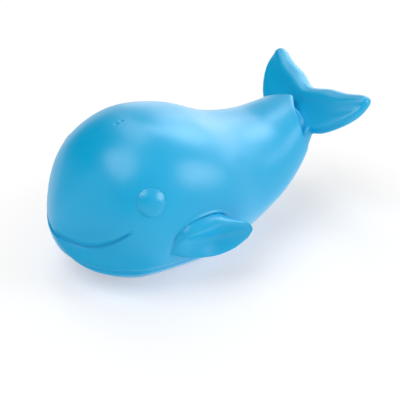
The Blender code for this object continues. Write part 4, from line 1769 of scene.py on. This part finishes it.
@dataclass(frozen=True)
class Softbox:
    """A lamp with a large pale face that looks at the whale."""

    name: str
    azimuth: float
    elevation: float
    width: float
    height: float
    radiance: float
    gloss_only: bool = False
    distance: float = 1.3

    def build(self, target: Vector) -> None:
        """Sets up the lamp.

        Args:
            target: What it looks at.
        """
        data = bpy.data.lights.new(self.name, "AREA")
        data.shape = "ELLIPSE"
        data.size = self.width
        data.size_y = self.height
        data.energy = math.pi * self.width * self.height * self.radiance
        lamp = bpy.data.objects.new(self.name, data)
        way = way_to(self.azimuth, self.elevation)
        lamp.location = target + self.distance * way
        lamp.rotation_euler = way.to_track_quat("Z", "Y").to_euler()
        lamp.visible_camera = False
        lamp.visible_diffuse = not self.gloss_only
        bpy.context.scene.collection.objects.link(lamp)


@dataclass(frozen=True)
class Studio:
    """The floor, the lamps, the surround and the camera."""

    target: tuple[float, float, float] = (0.0, 1.6 * MM, 39.0 * MM)
    azimuth: float = 55.0
    elevation: float = 30.0
    distance: float = 0.7
    lens: float = 126.0
    sensor: float = 36.0
    lower: float = 17.5 * MM
    floor_size: float = 6.0
    floor_colour: tuple[float, float, float] = (0.92, 0.92, 0.92)
    floor_shine: float = 0.36
    floor_roughness: float = 0.9
    floor_gloss: float = 0.1
    seen_colour: tuple[float, float, float] = (0.6, 0.69, 0.83)
    seen_glow: tuple[float, float, float] = (0.47, 0.38, 0.25)
    shadow_middle: tuple[float, float, float] = (40.0 * MM, -5.0 * MM, 0.0)
    white_from: float = 70.0 * MM
    white_to: float = 170.0 * MM
    surround: float = 0.29
    curtains: tuple[tuple[float, float, float, float, float], ...] = (
        (-70.0, 27.0, 27.0, 37.0, 1.0),
        (-70.0, 52.0, 6.0, 22.0, 0.9),
        (-122.0, 42.0, 4.0, 14.0, 0.7),
        (40.0, 38.0, 10.0, 40.0, 0.5),
        (-12.0, -60.0, 38.0, 56.0, 0.97),
    )
    lamps: tuple[Softbox, ...] = (
        Softbox("front_lamp", 2.0, 60.0, 1.2, 0.85, 2.4),
        Softbox("left_lamp", -105.0, 63.0, 0.5, 1.3, 1.75),
        Softbox("side_lamp", 131.0, 26.0, 0.8, 0.75, 3.5),
        Softbox("back_lamp", -165.0, 22.0, 1.5, 1.2, 1.55, gloss_only=True),
        Softbox("back_core", -166.0, 42.0, 0.6, 0.5, 3.3, gloss_only=True),
        Softbox("back_strip", -143.0, 57.0, 0.45, 0.4, 3.6, gloss_only=True),
        Softbox("back_wall", -140.0, 2.0, 1.2, 0.8, 0.6, gloss_only=True),
    )

    def build(self) -> None:
        """Sets up everything round the whale."""
        self._camera()
        self._floor()
        self._surround()
        for lamp in self.lamps:
            lamp.build(Vector(self.target))
        bpy.context.scene.view_settings.view_transform = "Standard"

    def _camera(self) -> None:
        """Puts the camera at the photograph's angle."""
        data = bpy.data.cameras.new("camera")
        data.lens = self.lens
        data.sensor_width = self.sensor
        camera = bpy.data.objects.new("camera", data)
        way = way_to(self.azimuth, self.elevation)
        camera.location = Vector(self.target) + self.distance * way
        up = way_to(self.azimuth, self.elevation + 90.0)
        aim = Vector(self.target) - self.lower * up
        camera.rotation_euler = (camera.location - aim).to_track_quat("Z", "Y").to_euler()
        bpy.context.scene.collection.objects.link(camera)
        bpy.context.scene.camera = camera

    def _floor(self) -> None:
        """Lays the floor, which keeps the shadow, turns white round it and is open from below."""
        bm = bmesh.new()
        bmesh.ops.create_grid(bm, x_segments=1, y_segments=1, size=0.5 * self.floor_size)
        floor = make_object("floor", bm)
        made, graph, shader = node_material("pale_floor")
        shader.inputs["Roughness"].default_value = self.floor_roughness
        shader.inputs["Specular IOR Level"].default_value = self.floor_gloss
        shader.inputs["Emission Strength"].default_value = 1.0
        shown, _ = self._rays(graph)
        away = graph.add("ShaderNodeVectorMath", operation="DISTANCE")
        away.inputs[1].default_value = self.shadow_middle
        graph.join(graph.add("ShaderNodeTexCoord").outputs["Object"], away.inputs[0])
        far = graph.add(
            "ShaderNodeMapRange",
            interpolation_type="SMOOTHSTEP",
            From_Min=self.white_from,
            From_Max=self.white_to,
        )
        graph.join(away.outputs["Value"], far.inputs["Value"])
        shine = (self.floor_shine,) * 3
        for socket, plain, near, distant in (
            ("Base Color", self.floor_colour, self.seen_colour, (0.0, 0.0, 0.0)),
            ("Emission Color", shine, self.seen_glow, (1.0, 1.0, 1.0)),
        ):
            seen = graph.add("ShaderNodeMix", data_type="RGBA", A=(*near, 1.0), B=(*distant, 1.0))
            graph.join(far.outputs["Result"], seen.inputs["Factor"])
            blend = graph.add("ShaderNodeMix", data_type="RGBA", A=(*plain, 1.0))
            graph.join(shown, blend.inputs["Factor"])
            graph.join(seen.outputs["Result"], blend.inputs["B"])
            graph.join(blend.outputs["Result"], shader.inputs[socket])
        under = graph.add("ShaderNodeNewGeometry").outputs["Backfacing"]
        graph.join(graph.math("SUBTRACT", 1.0, under), shader.inputs["Alpha"])
        floor.visible_glossy = False
        floor.data.materials.append(made)

    @staticmethod
    def _rays(graph: Graph) -> tuple[bpy.types.NodeSocket, bpy.types.NodeSocket]:
        """Tells which rays show the background.

        Args:
            graph: The graph to add the nodes to.

        Returns:
            Whether a ray is seen straight, mirrored or through something, and seen straight.
        """
        path = graph.add("ShaderNodeLightPath").outputs
        either = graph.math("MAXIMUM", path["Is Glossy Ray"], path["Is Transmission Ray"])
        return graph.math("MAXIMUM", path["Is Camera Ray"], either), path["Is Camera Ray"]

    def _surround(self) -> None:
        """Makes the room white, with dark curtains that only the gloss and the shade show."""
        world = bpy.data.worlds.new("surround")
        world.use_nodes = True
        graph = Graph(world.node_tree)
        sky = world.node_tree.nodes["Background"]
        shown, straight = self._rays(graph)
        strength = graph.math("MULTIPLY_ADD", shown, 1.0 - self.surround, self.surround)
        place = graph.add("ShaderNodeTexCoord").outputs["Generated"]
        for azimuth, elevation, dark, clear, depth in self.curtains:
            toward = graph.add("ShaderNodeVectorMath", operation="DOT_PRODUCT")
            graph.join(place, toward.inputs[0])
            toward.inputs[1].default_value = way_to(azimuth, elevation)
            fade = graph.add(
                "ShaderNodeMapRange",
                interpolation_type="SMOOTHSTEP",
                From_Min=math.cos(math.radians(dark)),
                From_Max=math.cos(math.radians(clear)),
                To_Min=1.0 - depth,
            )
            graph.join(toward.outputs["Value"], fade.inputs["Value"])
            open_room = graph.math("MAXIMUM", fade.outputs["Result"], straight)
            strength = graph.math("MULTIPLY", strength, open_room)
        graph.join(strength, sky.inputs["Strength"])
        sky.inputs["Color"].default_value = (1.0, 1.0, 1.0, 1.0)
        bpy.context.scene.world = world


def main() -> None:
    """Builds the whale piece by piece, then the studio."""
    logging.basicConfig(level=logging.INFO, format="%(message)s")
    effects = Effects()
    squeeze = Squeeze()
    lines = BodyLines()
    seat = EyeSeat(lines)
    reliefs = (Mouth(lines), Blowhole(lines), FlipperFold(lines), SeamRoll(SkinShell.seam_z))
    skin = SkinShell(lines, reliefs)
    shell = skin.build()
    eyes = [Eye(seat, side) for side in Side]
    flippers = [Flipper(lines, side) for side in Side]
    carve(shell, ring_solid("holes", *(piece.hole() for piece in (*eyes, *flippers))))
    dress(shell, SOFT_VINYL, effects, "upper_skin")
    squeeze.follow(shell)
    for eye in eyes:
        dome = eye.build()
        dress(dome, EYE_VINYL, effects, f"{eye.side.word}_eye")
        squeeze.follow(dome)
    for flipper in flippers:
        paddle = flipper.build(skin)
        dress(paddle, SOFT_VINYL, effects, f"{flipper.side.word}_flipper")
        squeeze.follow(paddle)
    flukes = TailFlukes(lines).build(skin)
    dress(flukes, SOFT_VINYL, effects, "tail_flukes")
    squeeze.follow(flukes)
    squeaker = Squeaker()
    pan = BellyPan(lines, skin).build(squeaker.axis)
    dress(pan, SOFT_VINYL, effects, "belly_pan")
    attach(pan, "belly")
    cup = squeaker.build()
    dress(cup, WHITE_PLASTIC, effects, "squeaker_cup")
    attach(cup, "belly")
    squeaker.dress_solids(effects)
    Studio().build()


if __name__ == "__main__":
    main()
